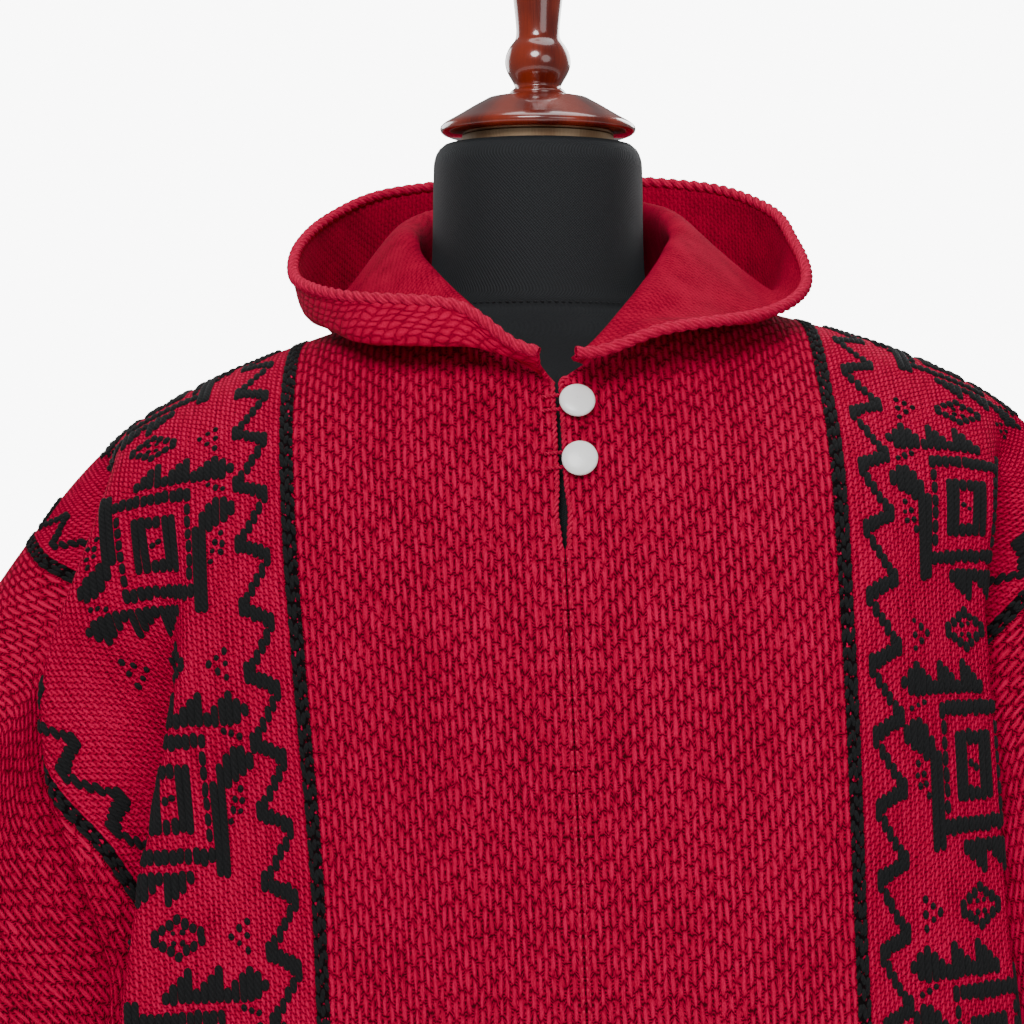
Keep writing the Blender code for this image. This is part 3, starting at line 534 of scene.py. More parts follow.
def centre_line(s):
    """Y and Z of the centre line at s, on the outer face."""
    table = CENTRE_FRONT if s >= 0 else CENTRE_BACK
    steps = np.linspace(0.0, abs(s), CENTRE_STEPS + 1)
    middle = 0.5 * (steps[1:] + steps[:-1])
    pitch = np.radians(interpolate(middle, table["s"], table["pitch"]))
    step = abs(s) / CENTRE_STEPS
    reach = float(np.sum(np.cos(pitch)) * step)
    drop = float(np.sum(np.sin(pitch)) * step)
    return SHOULDER_Y + (-reach if s >= 0 else reach), SHOULDER_TOP - drop


def hang(points):
    """Turn the poncho's own frame by its roll, about the shoulder top, and lift it to the datum."""
    x = points[..., 0]
    below = points[..., 2] - SHOULDER_TOP
    return np.stack((
        ROLL_X + x * math.cos(ROLL) - below * math.sin(ROLL),
        points[..., 1],
        DATUM + SHOULDER_TOP + x * math.sin(ROLL) + below * math.cos(ROLL),
    ), axis=-1)


def row_points(side, s, places):
    """Points of the row of weft at s, at the given distances u from the centre seam."""
    name = quarter(side, s)
    depth = abs(s)
    fine = np.linspace(0.0, PANEL_WIDTH, ROW_STEPS)
    middle = 0.5 * (fine[1:] + fine[:-1])
    table = HEADING[name]
    headings = interpolate(depth, tuple(table), np.array(list(table.values()), float))
    heading = np.radians(interpolate(middle, HEADING_U, headings))
    for place, width, turn in fold_rows(name, depth):
        out = smooth((middle - place + 0.5 * FOLD_TURN_LENGTH) / FOLD_TURN_LENGTH)
        back = smooth((middle - place - width - 0.5 * FOLD_TURN_LENGTH) / FOLD_TURN_LENGTH)
        heading = heading + turn * (out - back)
    dip = np.radians(interpolate(middle, SHOULDER_DIP["u"], SHOULDER_DIP["dip"]))
    length = interpolate(middle, DIP_DECAY["u"], DIP_DECAY["length"])
    dip = dip * np.exp(-(depth / length) ** FADE_POWER)
    step = fine[1] - fine[0]
    facing = -1.0 if s >= 0 else 1.0
    x = np.concatenate(([0.0], np.cumsum(np.cos(dip) * np.cos(heading)) * step))
    y = np.concatenate(([0.0], np.cumsum(np.cos(dip) * np.sin(heading)) * step))
    z = np.concatenate(([0.0], np.cumsum(-np.sin(dip)) * step))
    centre_y, centre_z = centre_line(s)
    return hang(np.stack((
        SIDEWAYS[side] * np.interp(places, fine, x),
        centre_y - facing * np.interp(places, fine, y),
        centre_z + np.interp(places, fine, z),
    ), axis=-1))


def neckline(s):
    """Distance of the panel's inner edge from the centre at s."""
    if s > SLIT_END_S or s <= NECK_BACK_S:
        return SEAM_HALF_GAP
    if s > NECK_FRONT_S:
        return SLIT_HALF_GAP + SLIT_GAPE * math.exp(-((s - SLIT_GAPE_S) / SLIT_GAPE_LENGTH) ** 2)
    if s > NECK_SIDE_S:
        share = (NECK_FRONT_S - s) / (NECK_FRONT_S - NECK_SIDE_S)
        return max(SLIT_HALF_GAP, NECK_SIDE_U * math.sin(0.5 * math.pi * share))
    share = (NECK_SIDE_S - s) / (NECK_SIDE_S - NECK_BACK_S)
    return max(SEAM_HALF_GAP, NECK_SIDE_U * math.sqrt(1.0 - share * share))


def crease_depth(side, s, u):
    """How far the soft creases push the outer face in at each s and u."""
    depth = np.zeros(np.broadcast(s, u).shape)
    for (s0, u0), (s1, u1), half, deep in CREASES[side]:
        run = (s1 - s0, u1 - u0)
        size = run[0] ** 2 + run[1] ** 2
        share = ((s - s0) * run[0] + (u - u0) * run[1]) / size
        held = np.clip(share, 0.0, 1.0)
        bow = CREASE_BOW * np.sin(math.pi * held * 2.0)
        away = (s - s0 - held * run[0]) ** 2 + (u - u0 - held * run[1] - bow) ** 2
        fade = smooth(held * 3.0) * smooth((1.0 - held) * 3.0)
        depth = depth + deep * np.exp(-away / half ** 2) * fade
    return depth


class Drape:
    """The outer face of one panel, as points and normals on a fine lattice of s and u."""

    def __init__(self, side):
        self.side = side
        self.s = np.linspace(-PANEL_LENGTH, PANEL_LENGTH, LATTICE[0])
        self.u = np.linspace(0.0, PANEL_WIDTH, LATTICE[1])
        flat = np.array([row_points(side, s, self.u) for s in self.s])
        depth = crease_depth(side, self.s[:, None], self.u[None, :])
        self.points = flat - SIDEWAYS[side] * lattice_normals(flat) * depth[..., None]
        self.normals = SIDEWAYS[side] * lattice_normals(self.points)

    def read(self, values, s, u):
        """Values of a lattice at any s and u, straight between its points."""
        row = np.clip((s - self.s[0]) / (self.s[1] - self.s[0]), 0, len(self.s) - 1.000001)
        column = np.clip((u - self.u[0]) / (self.u[1] - self.u[0]), 0, len(self.u) - 1.000001)
        i = row.astype(int)
        j = column.astype(int)
        a = (row - i)[..., None]
        b = (column - j)[..., None]
        low = values[i, j] * (1 - b) + values[i, j + 1] * b
        high = values[i + 1, j] * (1 - b) + values[i + 1, j + 1] * b
        return low * (1 - a) + high * a

    def at(self, s, u, lift=0.0):
        """Points of the face at s and u, moved out by lift."""
        s, u, lift = np.broadcast_arrays(np.asarray(s, float), np.asarray(u, float), np.asarray(lift, float))
        return self.read(self.points, s, u) + lift[..., None] * self.normal(s, u)

    def normal(self, s, u):
        s, u = np.broadcast_arrays(np.asarray(s, float), np.asarray(u, float))
        found = self.read(self.normals, s, u)
        return found / np.linalg.norm(found, axis=-1, keepdims=True)


DRAPES = {side: Drape(side) for side in ("left", "right")}

# -------- materials


def math_step(operation, turned=False):
    """A method of Field that adds one math node.  Turned, the Field is the node's second value."""
    def method(self, *others):
        values = (*others, self) if turned else (self, *others)
        return self.graph.math(operation, *values)
    return method


class Field:
    """A value of a material's nodes, to reckon with as with a number."""

    __add__ = math_step("ADD")
    __sub__ = math_step("SUBTRACT")
    __rsub__ = math_step("SUBTRACT", True)
    __mul__ = math_step("MULTIPLY")
    __truediv__ = math_step("DIVIDE")
    __pow__ = math_step("POWER")
    __abs__ = math_step("ABSOLUTE")
    most = math_step("MAXIMUM")
    sine = math_step("SINE")
    whole = math_step("FLOOR")
    part = math_step("FRACT")

    def __init__(self, graph, socket):
        self.graph = graph
        self.socket = socket

    def hump(self):
        """0 at 0 and 1, and 1 halfway."""
        return (self * math.pi).sine()


class Graph:
    """The nodes of one material."""

    def __init__(self, name, roughness, specular=0.5):
        self.material = bpy.data.materials.new(name)
        self.material.use_nodes = True
        self.tree = self.material.node_tree
        self.shader = self.tree.nodes["Principled BSDF"]
        self.shader.inputs["Roughness"].default_value = roughness
        self.shader.inputs["Specular IOR Level"].default_value = specular

    def node(self, kind, inputs=None, **settings):
        new = self.tree.nodes.new("ShaderNode" + kind)
        for key, value in settings.items():
            setattr(new, key, value)
        for key, value in (inputs or {}).items():
            self.feed(new.inputs[key], value)
        return new

    def feed(self, socket, value):
        if isinstance(value, Field):
            self.tree.links.new(value.socket, socket)
        elif isinstance(value, bpy.types.NodeSocket):
            self.tree.links.new(value, socket)
        else:
            socket.default_value = value

    def math(self, operation, *values):
        new = self.node("Math", operation=operation)
        for socket, value in zip(new.inputs, values):
            self.feed(socket, value)
        return Field(self, new.outputs[0])

    def uv(self):
        """The cloth's own coordinates, in metres."""
        parts = self.node("SeparateXYZ", {"Vector": self.node("UVMap", uv_map="weave").outputs[0]})
        return Field(self, parts.outputs[0]), Field(self, parts.outputs[1])

    def noise(self, x, y, detail=2.0, roughness=0.5):
        place = self.node("CombineXYZ", {"X": x, "Y": y}).outputs[0]
        inputs = {"Vector": place, "Scale": 1.0, "Detail": detail, "Roughness": roughness}
        return Field(self, self.node("TexNoise", inputs).outputs["Fac"])

    def blend(self, share, first, second):
        new = self.node("Mix", {0: share, 6: first, 7: second}, data_type="RGBA")
        return new.outputs[2]

    def mix(self, share, first, second):
        new = self.node("Mix", {0: share, 2: first, 3: second}, data_type="FLOAT")
        return Field(self, new.outputs[0])

    def ease(self, value, low, high):
        """0 below low, 1 above high, smooth between."""
        inputs = {"Value": value, "From Min": low, "From Max": high}
        return Field(self, self.node("MapRange", inputs, interpolation_type="SMOOTHSTEP").outputs[0])

    def finish(self, colour, height=None, distance=0.001, strength=1.0):
        self.feed(self.shader.inputs["Base Color"], colour)
        if height is not None:
            bump = self.node("Bump", {"Height": height, "Distance": distance, "Strength": strength})
            self.feed(self.shader.inputs["Normal"], bump.outputs[0])
        return self.material

    def nap(self, weight, tint):
        self.shader.inputs["Sheen Weight"].default_value = weight
        self.shader.inputs["Sheen Roughness"].default_value = 0.45
        self.shader.inputs["Sheen Tint"].default_value = (*tint, 1.0)


CRIMSON = (0.500, 0.0001, 0.0380, 1.0)
# The light crimson here is partly a painted highlight on raised floats and ribs, and the deep crimson below
# it is partly a painted shade in their low places; both also carry the yarn's random tone.
CRIMSON_HIGHLIGHT_AND_LIGHT_TONE = (0.780, 0.0001, 0.0760, 1.0)
CRIMSON_SHADE_AND_DEEP_TONE = (0.075, 0.0001, 0.0050, 1.0)
CHARCOAL = (0.0034, 0.0036, 0.0040, 1.0)
CHARCOAL_LIGHT = (0.0125, 0.0130, 0.0138, 1.0)
RED_YARN_DEEP = (0.34, 0.0001, 0.024, 1.0)
# These two twill colours are partly painted shade in the twill's grooves and a painted highlight on its
# ridges, with random tone besides.
TWILL_SHADE_AND_DARK_TONE = (0.0048, 0.0056, 0.0066, 1.0)
TWILL_HIGHLIGHT_AND_LIGHT_TONE = (0.015, 0.0172, 0.020, 1.0)
VARNISH_DARK = (0.090, 0.005, 0.0015, 1.0)
VARNISH_LIGHT = (0.235, 0.021, 0.005, 1.0)
BARE_DARK = (0.36, 0.20, 0.10, 1.0)
BARE_LIGHT = (0.62, 0.42, 0.25, 1.0)
BUTTON_WHITE = (0.93, 0.93, 0.91, 1.0)
BUTTON_LIGHT = (0.97, 0.97, 0.95, 1.0)
THREAD_DARK = (0.004, 0.004, 0.005, 1.0)
THREAD_LIGHT = (0.02, 0.02, 0.022, 1.0)
FLOOR_DARK = (0.84, 0.84, 0.84, 1.0)
FLOOR_LIGHT = (0.88, 0.88, 0.88, 1.0)

FLOAT_PITCH = 0.0038          # the plain cloth: from one column of floats to the next
FLOAT_LENGTH = 0.0125
PICK = 0.0025                 # from one pick of weft to the next, between the floats
BASKET_PITCH = 0.0029         # the same for the bands' basket ground
BASKET_LENGTH = 0.0046
BASKET_PICK = 0.0022
RIB_HEIGHT = 0.0038           # the ribs outside the hood, and the links along them
RIB_LINK = 0.0072
TWILL = (0.0019, 0.0016)      # the form's diagonal lines, and the threads across them


def wandering(graph, u, s, across, along):
    """The coordinates, pushed about a little, as hand-spun yarn lies."""
    push = graph.noise(u * 210.0, s * 110.0, 3.0, 0.6)
    pull = graph.noise(s * 95.0, u * 260.0)
    return u + (push * 2.0 - 1.0) * across, s + (pull * 2.0 - 1.0) * along


def lens(across, along, sharp):
    """Height of one float: round across, and falling away towards its two ends."""
    fall = abs(across * 2.0 - 1.0) ** 2.2 + abs(along * 2.0 - 1.0) ** sharp
    return (1.0 - fall).most(0.0)


def warp_floats(graph, u, s):
    """Height of the plain cloth: columns of long floats, each column shifted well along from the next."""
    u, s = wandering(graph, u, s, 0.0013, 0.0060)
    cell = u / FLOAT_PITCH
    column = cell.whole()
    chance = graph.node("TexWhiteNoise", {"W": column}, noise_dimensions="1D").outputs["Value"]
    along = column * 0.38 + s / FLOAT_LENGTH + Field(graph, chance) * 0.30
    floats = lens(cell.part() * 1.20 - 0.10, along.part(), 4.0)
    edge = (cell + 0.5).part().hump() * 0.36 + 0.34
    return (floats ** 0.5).most((s / PICK).part().hump() * edge)


def basket(graph, u, s):
    """Height of the band's ground: small slanting cells that go over and under."""
    u, s = wandering(graph, u, s, 0.0009, 0.0018)
    cell = u / BASKET_PITCH
    along = cell.whole() * 0.5 + cell.part() * 0.80 + s / BASKET_LENGTH
    over = lens(cell.part(), along.part(), 3.0) ** 0.6
    weft = (s / BASKET_PICK).part().hump()
    return over.most(weft * 0.46 + 0.20)


def panel_material():
    """Crimson wool: plain cloth, the band's basket ground and the black stripes."""
    graph = Graph("poncho_wool", 0.95, 0.08)
    u, s = graph.uv()
    off_middle = abs(u - 0.5 * (BAND[0] + BAND[1]))
    in_band = 1.0 - graph.ease(off_middle, 0.0910, 0.0930)
    height = graph.mix(in_band, warp_floats(graph, u, s), basket(graph, u, s))
    fibre = graph.noise(u * 2200.0, s * 420.0, 4.0, 0.7)
    cloud = graph.noise(u * 28.0, s * 11.0, 4.0, 0.6)
    yarn = graph.noise(u * 620.0, s * 42.0, 3.0, 0.6)
    # The height share of this mix is painted shade in the weave's low places and a painted highlight on its
    # floats; the noise shares are the yarn's random tone.
    relief_shade_and_tone = height * 0.80 + fibre * 0.62 + cloud * 0.34 + yarn * 0.84 + in_band * 0.06 - 0.77
    dark = graph.blend(graph.ease(relief_shade_and_tone, 0.18, 0.80), CRIMSON_SHADE_AND_DEEP_TONE, CRIMSON)
    red = graph.blend(graph.ease(relief_shade_and_tone, 0.70, 1.08), dark, CRIMSON_HIGHLIGHT_AND_LIGHT_TONE)
    soft = 0.0004
    stripes = [1.0 - graph.ease(abs(u - place), STRIPE_HALF - soft, STRIPE_HALF + soft) for place in STRIPES]
    fleck = graph.noise(u * 420.0, s * 260.0, 1.0)
    stripe = stripes[0].most(stripes[1]) * (1.0 - graph.ease(fleck, 0.60, 0.66))
    graph.nap(0.03, (1.0, 0.02, 0.14))
    return graph.finish(graph.blend(stripe, red, CHARCOAL), height + yarn * 0.6 + fibre * 0.6, 0.0018)


def yarn_material(name, dark, light, nap):
    """Twisted yarn, for floats, edging, loops and seams.  Its map runs across (u) and along (v) the yarn."""
    graph = Graph(name, 0.9, 0.25)
    u, v = graph.uv()
    ply = (u * 2600.0 + v * 1500.0).sine()
    fibre = graph.noise(u * 2600.0, v * 700.0, 3.0, 0.65)
    graph.nap(*nap)
    # The ply share of this mix is a faint painted shade in the twist's grooves and a painted highlight on
    # its strands; the fibre noise is the yarn's random tone.
    colour = graph.blend(graph.ease(ply * 0.09 + fibre, 0.30, 0.78), dark, light)
    return graph.finish(colour, ply * 0.22 + fibre, 0.0006, 0.8)


def hood_material(name, ribs):
    """Brushed wool: ribs along the rim outside, or the felted, faintly woven inside."""
    graph = Graph(name, 0.95, 0.08)
    along, up = graph.uv()
    if ribs:
        row = up / RIB_HEIGHT + graph.noise(along * 45.0, up * 70.0, 3.0, 0.6) * 2.4
        link = row.whole() * 0.43 + row.part() * 0.5 + along / RIB_LINK
        height = (lens(row.part(), link.part(), 3.0) ** 0.5).most(0.30)
    else:
        height = basket(graph, along, up) * 0.45
    felt = graph.noise(along * 900.0, up * 900.0, 4.0, 0.7)
    cloud = graph.noise(along * 60.0, up * 60.0, 3.0)
    # The height share of this mix is painted shade in the ribs' and weave's low places and a painted
    # highlight on their tops; the noise shares are the wool's random tone.
    relief_shade_and_tone = height * 0.6 + felt * 0.55 + cloud * 0.3 - 0.15
    dark = graph.blend(graph.ease(relief_shade_and_tone, 0.14, 0.72), CRIMSON_SHADE_AND_DEEP_TONE, CRIMSON)
    colour = graph.blend(graph.ease(relief_shade_and_tone, 0.70, 1.15), dark, CRIMSON_HIGHLIGHT_AND_LIGHT_TONE)
    graph.nap(0.04, (1.0, 0.02, 0.14))
    return graph.finish(colour, height + felt * 0.6, 0.0016 if ribs else 0.0010, 0.85)


def form_material():
    """Fine black twill."""
    graph = Graph("form_cloth", 0.78, 0.35)
    around, up = graph.uv()
    twill = ((around + up) * (2 * math.pi / TWILL[0])).sine()
    thread = ((up - around) * (2 * math.pi / TWILL[1])).sine()
    height = thread * 0.35 + twill * 0.6 + graph.noise(around * 900.0, up * 900.0)
    graph.nap(0.03, (0.7, 0.8, 0.9))
    # The colour follows the twill's relief: painted shade in its grooves and a painted highlight on its
    # ridges, with some random tone.
    colour = graph.blend(graph.ease(height, -0.3, 1.5), TWILL_SHADE_AND_DARK_TONE, TWILL_HIGHLIGHT_AND_LIGHT_TONE)
    return graph.finish(colour, height, 0.0003, 0.7)


def wood_material(name, dark, light, roughness, coat):
    """Turned wood, with the grain running up the piece."""
    graph = Graph(name, roughness)
    around, up = graph.uv()
    inputs = {"Vector": graph.node("TexCoord").outputs["Object"], "Scale": 9.0, "Distortion": 7.0,
              "Detail": 3.0, "Detail Scale": 1.5}
    rings = Field(graph, graph.node("TexWave", inputs, bands_direction="X").outputs["Fac"])
    pores = graph.noise(around * 900.0, up * 60.0, 3.0, 0.6)
    graph.shader.inputs["Coat Weight"].default_value = coat
    graph.shader.inputs["Coat Roughness"].default_value = 0.04
    colour = graph.blend(graph.ease(pores * 0.6 + rings * 0.5, 0.2, 0.9), dark, light)
    return graph.finish(colour, pores, 0.0002, 0.3 if coat else 0.8)


def plastic_material():
    """White button plastic, faintly clouded."""
    graph = Graph("button", 0.28)
    around, up = graph.uv()
    cloud = graph.noise(around * 160.0, up * 160.0, 3.0)
    return graph.finish(graph.blend(cloud, BUTTON_WHITE, BUTTON_LIGHT), cloud, 0.0001, 0.2)


def floor_material():
    """Plain pale studio floor."""
    graph = Graph("studio_floor", 0.9, 0.2)
    inputs = {"Vector": graph.node("TexCoord").outputs["Object"], "Scale": 3.0, "Detail": 3.0}
    cloud = graph.node("TexNoise", inputs).outputs["Fac"]
    return graph.finish(graph.blend(cloud, FLOOR_DARK, FLOOR_LIGHT))


# -------- meshes


def put(name, data):
    """A new object of that data, in the scene."""
    item = bpy.data.objects.new(name, data)
    bpy.context.scene.collection.objects.link(item)
    return item


def add_map(mesh, name, coordinates):
    """A map of the mesh, from two coordinates for each of its points."""
    corners = np.zeros(len(mesh.loops), int)
    mesh.loops.foreach_get("vertex_index", corners)
    layer = mesh.uv_layers.new(name=name)
    layer.data.foreach_set("uv", np.asarray(coordinates, np.float32)[corners].ravel())


def to_object(name, points, faces, weave, materials, slot=None, stands_for=(), slots=None):
    """A piece from arrays: points, faces, and the weave coordinates of each point."""
    mesh = bpy.data.meshes.new(name)
    faces = faces if isinstance(faces, list) else faces.tolist()
    mesh.from_pydata(np.asarray(points, float).tolist(), [], faces)
    add_map(mesh, "weave", weave)
    for finish in materials:
        mesh.materials.append(finish)
    if slots is not None:
        mesh.polygons.foreach_set("material_index", np.asarray(slots, np.int32))
    mesh.shade_smooth()
    mesh.update()
    piece = put(name, mesh)
    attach(piece, "root")
    if stands_for:
        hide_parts(*stands_for)
    return piece


def lattice_faces(rows, columns, start=0, turned=False):
    """Faces of a lattice of points, row by row."""
    i, j = np.meshgrid(np.arange(rows - 1), np.arange(columns - 1), indexing="ij")
    a = (start + i * columns + j).ravel()
    faces = np.stack((a, a + columns, a + columns + 1, a + 1), axis=1)
    return faces[:, ::-1] if turned else faces


def shell(outer, inner, weave, turned):
    """Points, faces and weave coordinates of a wall between two like lattices, closed round its border."""
    rows, columns = outer.shape[:2]
    size = rows * columns
    points = np.concatenate((outer.reshape(-1, 3), inner.reshape(-1, 3)))
    border = list(range(columns)) + [i * columns + columns - 1 for i in range(1, rows)]
    border += [(rows - 1) * columns + j for j in range(columns - 2, -1, -1)]
    border += [i * columns for i in range(rows - 2, 0, -1)]
    border = np.array(border)
    following = np.roll(border, -1)
    rim = np.stack((border, following, size + following, size + border), axis=1)
    if turned:
        rim = rim[:, ::-1]
    faces = np.concatenate((
        lattice_faces(rows, columns, 0, turned), lattice_faces(rows, columns, size, not turned), rim,
    ))
    flat = weave.reshape(-1, 2)
    return points, faces, np.concatenate((flat, flat))


def turned_shape(profile, segments):
    """Points, faces and weave coordinates of a solid of revolution about Z."""
    profile = np.asarray(profile, float)
    angles = 2 * math.pi * np.arange(segments + 1) / segments
    radius = profile[:, :1]
    reach = distances(profile)
    points = np.stack((
        radius * np.cos(angles), radius * np.sin(angles), np.repeat(profile[:, 1:], segments + 1, axis=1),
    ), axis=-1)
    weave = np.stack((
        np.repeat(angles[None, :] * max(float(radius.max()), 0.01), len(profile), axis=0),
        np.repeat(reach[:, None], segments + 1, axis=1),
    ), axis=-1)
    return points.reshape(-1, 3), lattice_faces(len(profile), segments + 1, 0, True), weave.reshape(-1, 2)


def tube_shape(path, radius, sides, twist=0.0, spread=0.0, phase=0.0):
    """Points, faces and weave coordinates of a tube.  A strand of a rope winds round the path at spread."""
    path = np.asarray(path, float)
    tangents = np.gradient(path, axis=0)
    tangents /= np.linalg.norm(tangents, axis=1, keepdims=True)
    run = distances(path)
    across = np.cross(tangents[0], (0.0, 0.0, 1.0))
    if np.linalg.norm(across) < 0.1:
        across = np.cross(tangents[0], (0.0, 1.0, 0.0))
    points, weave = [], []
    for centre, tangent, reach in zip(path, tangents, run):
        across = across - tangent * np.dot(across, tangent)
        across /= np.linalg.norm(across)
        other = np.cross(tangent, across)
        turn = phase + twist * reach
        middle = centre + spread * (across * math.cos(turn) + other * math.sin(turn))
        for k in range(sides + 1):
            angle = 2 * math.pi * k / sides + turn
            points.append(middle + radius * (across * math.cos(angle) + other * math.sin(angle)))
            weave.append((radius * 2 * math.pi * k / sides, reach))
    return np.array(points), lattice_faces(len(path), sides + 1, 0, False), np.array(weave)


def rope(path, radius, sides, lay, spread):
    """Two strands wound together round a path, one whole turn in each lay."""
    return [tube_shape(path, radius, sides, 2 * math.pi / lay, spread, phase) for phase in (0.0, math.pi)]


def joined(shapes):
    """Several shapes as one."""
    points, faces, weave, start = [], [], [], 0
    for shape in shapes:
        points.append(shape[0])
        faces.append(shape[1] + start)
        weave.append(shape[2])
        start += len(shape[0])
    return np.concatenate(points), np.concatenate(faces), np.concatenate(weave)


# -------- panels and their floats

BAKE_START = 0.02             # the bake map: where the outer face's place starts, and how large it is
BAKE_WIDTH = 0.46
BAKE_HEIGHT = 0.96
BAKE_SHIFT = 0.49             # from there to the inner face's place
FIGURE_LIFT = 0.0016          # how far the floats stand out from the cloth
STRIPE_LIFT = 0.0011
SEAM_LIFT = 0.0005
FLOAT_SINK = 0.0005           # how far their edges lie below its face
FLOAT_NIP = 0.0009            # from a float's end to its second ring, and to its full width
FLOAT_ROUND = 0.0026
FLOAT_RING = 0.009            # a float has one more ring for each such length


def panel_rows():
    """Places s of a panel's rows, closer round the neckline and slit."""
    return np.concatenate((
        np.linspace(-PANEL_LENGTH, -0.065, 92), np.linspace(-0.060, 0.250, 64),
        np.linspace(0.259, PANEL_LENGTH, 74),
    ))


def make_panel(side, finish):
    """One loom-width panel with both faces, and a bake map with the faces side by side."""
    drape = DRAPES[side]
    rows = panel_rows()
    edge = np.array([neckline(s) for s in rows])[:, None]
    u = edge + (PANEL_WIDTH - edge) * np.linspace(0.0, 1.0, PANEL_COLUMNS)[None, :]
    s = np.repeat(rows[:, None], PANEL_COLUMNS, axis=1)
    from_hem = np.minimum(PANEL_LENGTH - np.abs(s), PANEL_WIDTH - u)
    roll = HEM_ROLL * np.exp(-((from_hem - 0.006) / 0.005) ** 2)
    outer = drape.at(s, u, roll)
    inner = drape.at(s, u, -CLOTH - roll)
    weave = np.stack((u, s), axis=-1)
    points, faces, coordinates = shell(outer, inner, weave, side == "right")
    piece = to_object("panel_" + side + "_cloth", points, faces, coordinates, [finish],
                      "poncho_wool", ["panel_" + side])
    half = len(coordinates) // 2
    across = coordinates[:, 0] / PANEL_WIDTH * BAKE_WIDTH
    down = (coordinates[:, 1] + PANEL_LENGTH) / (2 * PANEL_LENGTH) * BAKE_HEIGHT
    bake = BAKE_START + np.stack((across, down), axis=1)
    bake[half:, 0] += BAKE_SHIFT
    add_map(piece.data, "OFBake", bake)
    return piece


def float_shape(drape, stitches, height):
    """Raised floats on the panel: each is a half-round ridge that follows the cloth."""
    shapes = []
    arch = np.radians(np.linspace(0.0, 180.0, 5))
    for count, rows in sorted(by_length(stitches).items()):
        rows = np.array(rows)
        size = np.hypot(rows[:, 2] - rows[:, 0], rows[:, 3] - rows[:, 1])[:, None]
        tip = np.array((0.0, FLOAT_NIP))
        inner = np.linspace(0.0, 1.0, count - 4)
        reach = np.concatenate([
            np.broadcast_to(tip, (len(rows), 2)),
            FLOAT_ROUND + (size - 2 * FLOAT_ROUND) * inner,
            size - tip[::-1],
        ], axis=1)
        share = reach / size
        from_end = np.minimum(reach, size - reach) / FLOAT_ROUND
        taper = np.sqrt(np.clip(1.0 - (1.0 - np.clip(from_end, 0.0, 1.0)) ** 2, 0.04, 1.0))
        s = rows[:, 0:1] + share * (rows[:, 2:3] - rows[:, 0:1])
        u = rows[:, 1:2] + share * (rows[:, 3:4] - rows[:, 1:2])
        half = rows[:, 4:5] * taper
        side_step = half[..., None] * np.cos(arch)
        lift = -FLOAT_SINK + (height + FLOAT_SINK) * taper[..., None] * np.sin(arch)
        points = drape.at(s[..., None], u[..., None] + side_step, lift)
        weave = np.stack(np.broadcast_arrays(side_step, reach[..., None]), axis=-1)
        faces = lattice_faces(count, len(arch), 0, drape.side == "left")
        for one, flat in zip(points, weave):
            shapes.append((one.reshape(-1, 3), faces, flat.reshape(-1, 2)))
    return joined(shapes)


def by_length(stitches):
    """The floats grouped by how many rings each needs."""
    groups = {}
    for row in stitches:
        size = math.hypot(row[2] - row[0], row[3] - row[1])
        groups.setdefault(6 + int(size / FLOAT_RING), []).append(row)
    return groups


def make_figures(side, finish):
    """The black floats of a panel: its band's figures and its stripes."""
    rng = np.random.default_rng(5 if side == "left" else 9)
    ragged = []
    for s0, u0, s1, u1, half in figure_stitches():
        start = (s0 + rng.normal(0, 0.0004), u0 + rng.normal(0, 0.00015))
        end = (s1 + rng.normal(0, 0.0004), u1 + rng.normal(0, 0.00025))
        ragged.append((*start, *end, half * rng.uniform(0.93, 1.07)))
    drape = DRAPES[side]
    shape = float_shape(drape, ragged, FIGURE_LIFT)
    to_object("figures_" + side, *shape, [finish], "poncho_wool")
    shape = float_shape(drape, stripe_stitches(rng), STRIPE_LIFT)
    to_object("stripes_" + side, *shape, [finish], "poncho_wool")


# -------- the hood


def hood_seam(along):
    """Place s and u of the neckline at a share of the way from the slit to the back."""
    values = NECK_FRONT_S + (NECK_BACK_S - NECK_FRONT_S) * np.linspace(0.0, 1.0, OUTLINE_STEPS)
    lengths = distances([(neckline(s), s) for s in values])
    s = float(np.interp(along * lengths[-1], lengths, values))
    return s, max(neckline(s), SEAM_U)


def hood_section(side, along):
    """Points of the hood's upper face at one station, from the seam to the rim."""
    s, u = hood_seam(along)
    across, out, rise = HOOD_FOOT
    foot = DRAPES[side].at(s, u + across, CLOTH + out) + np.array((0.0, 0.0, rise))
    rows = np.array(HOOD[side], float)
    values = interpolate(along, rows[:, 0], rows[:, 1:])
    angle = math.radians(values[0])
    outward = np.array((SIDEWAYS[side] * math.sin(angle), -math.cos(angle), 0.0))
    centre = np.array((ROLL_X, 0.0, DATUM))
    crest_r, crest_w, crest_z, trough_r, trough_w, trough_z, rim_r, rim_z = values[1:]
    reach = (crest_r - crest_w, crest_r, crest_r + crest_w, trough_r - trough_w, trough_r + trough_w, rim_r)
    shoulder_z = crest_z - CREST_ARCH * crest_w ** 2
    height = (shoulder_z, crest_z, shoulder_z, trough_z, trough_z, rim_z)
    knots = [foot] + [centre + outward * r + np.array((0.0, 0.0, z)) for r, z in zip(reach, height)]
    return spaced(cut_corners(knots, 3), HOOD_POINTS)


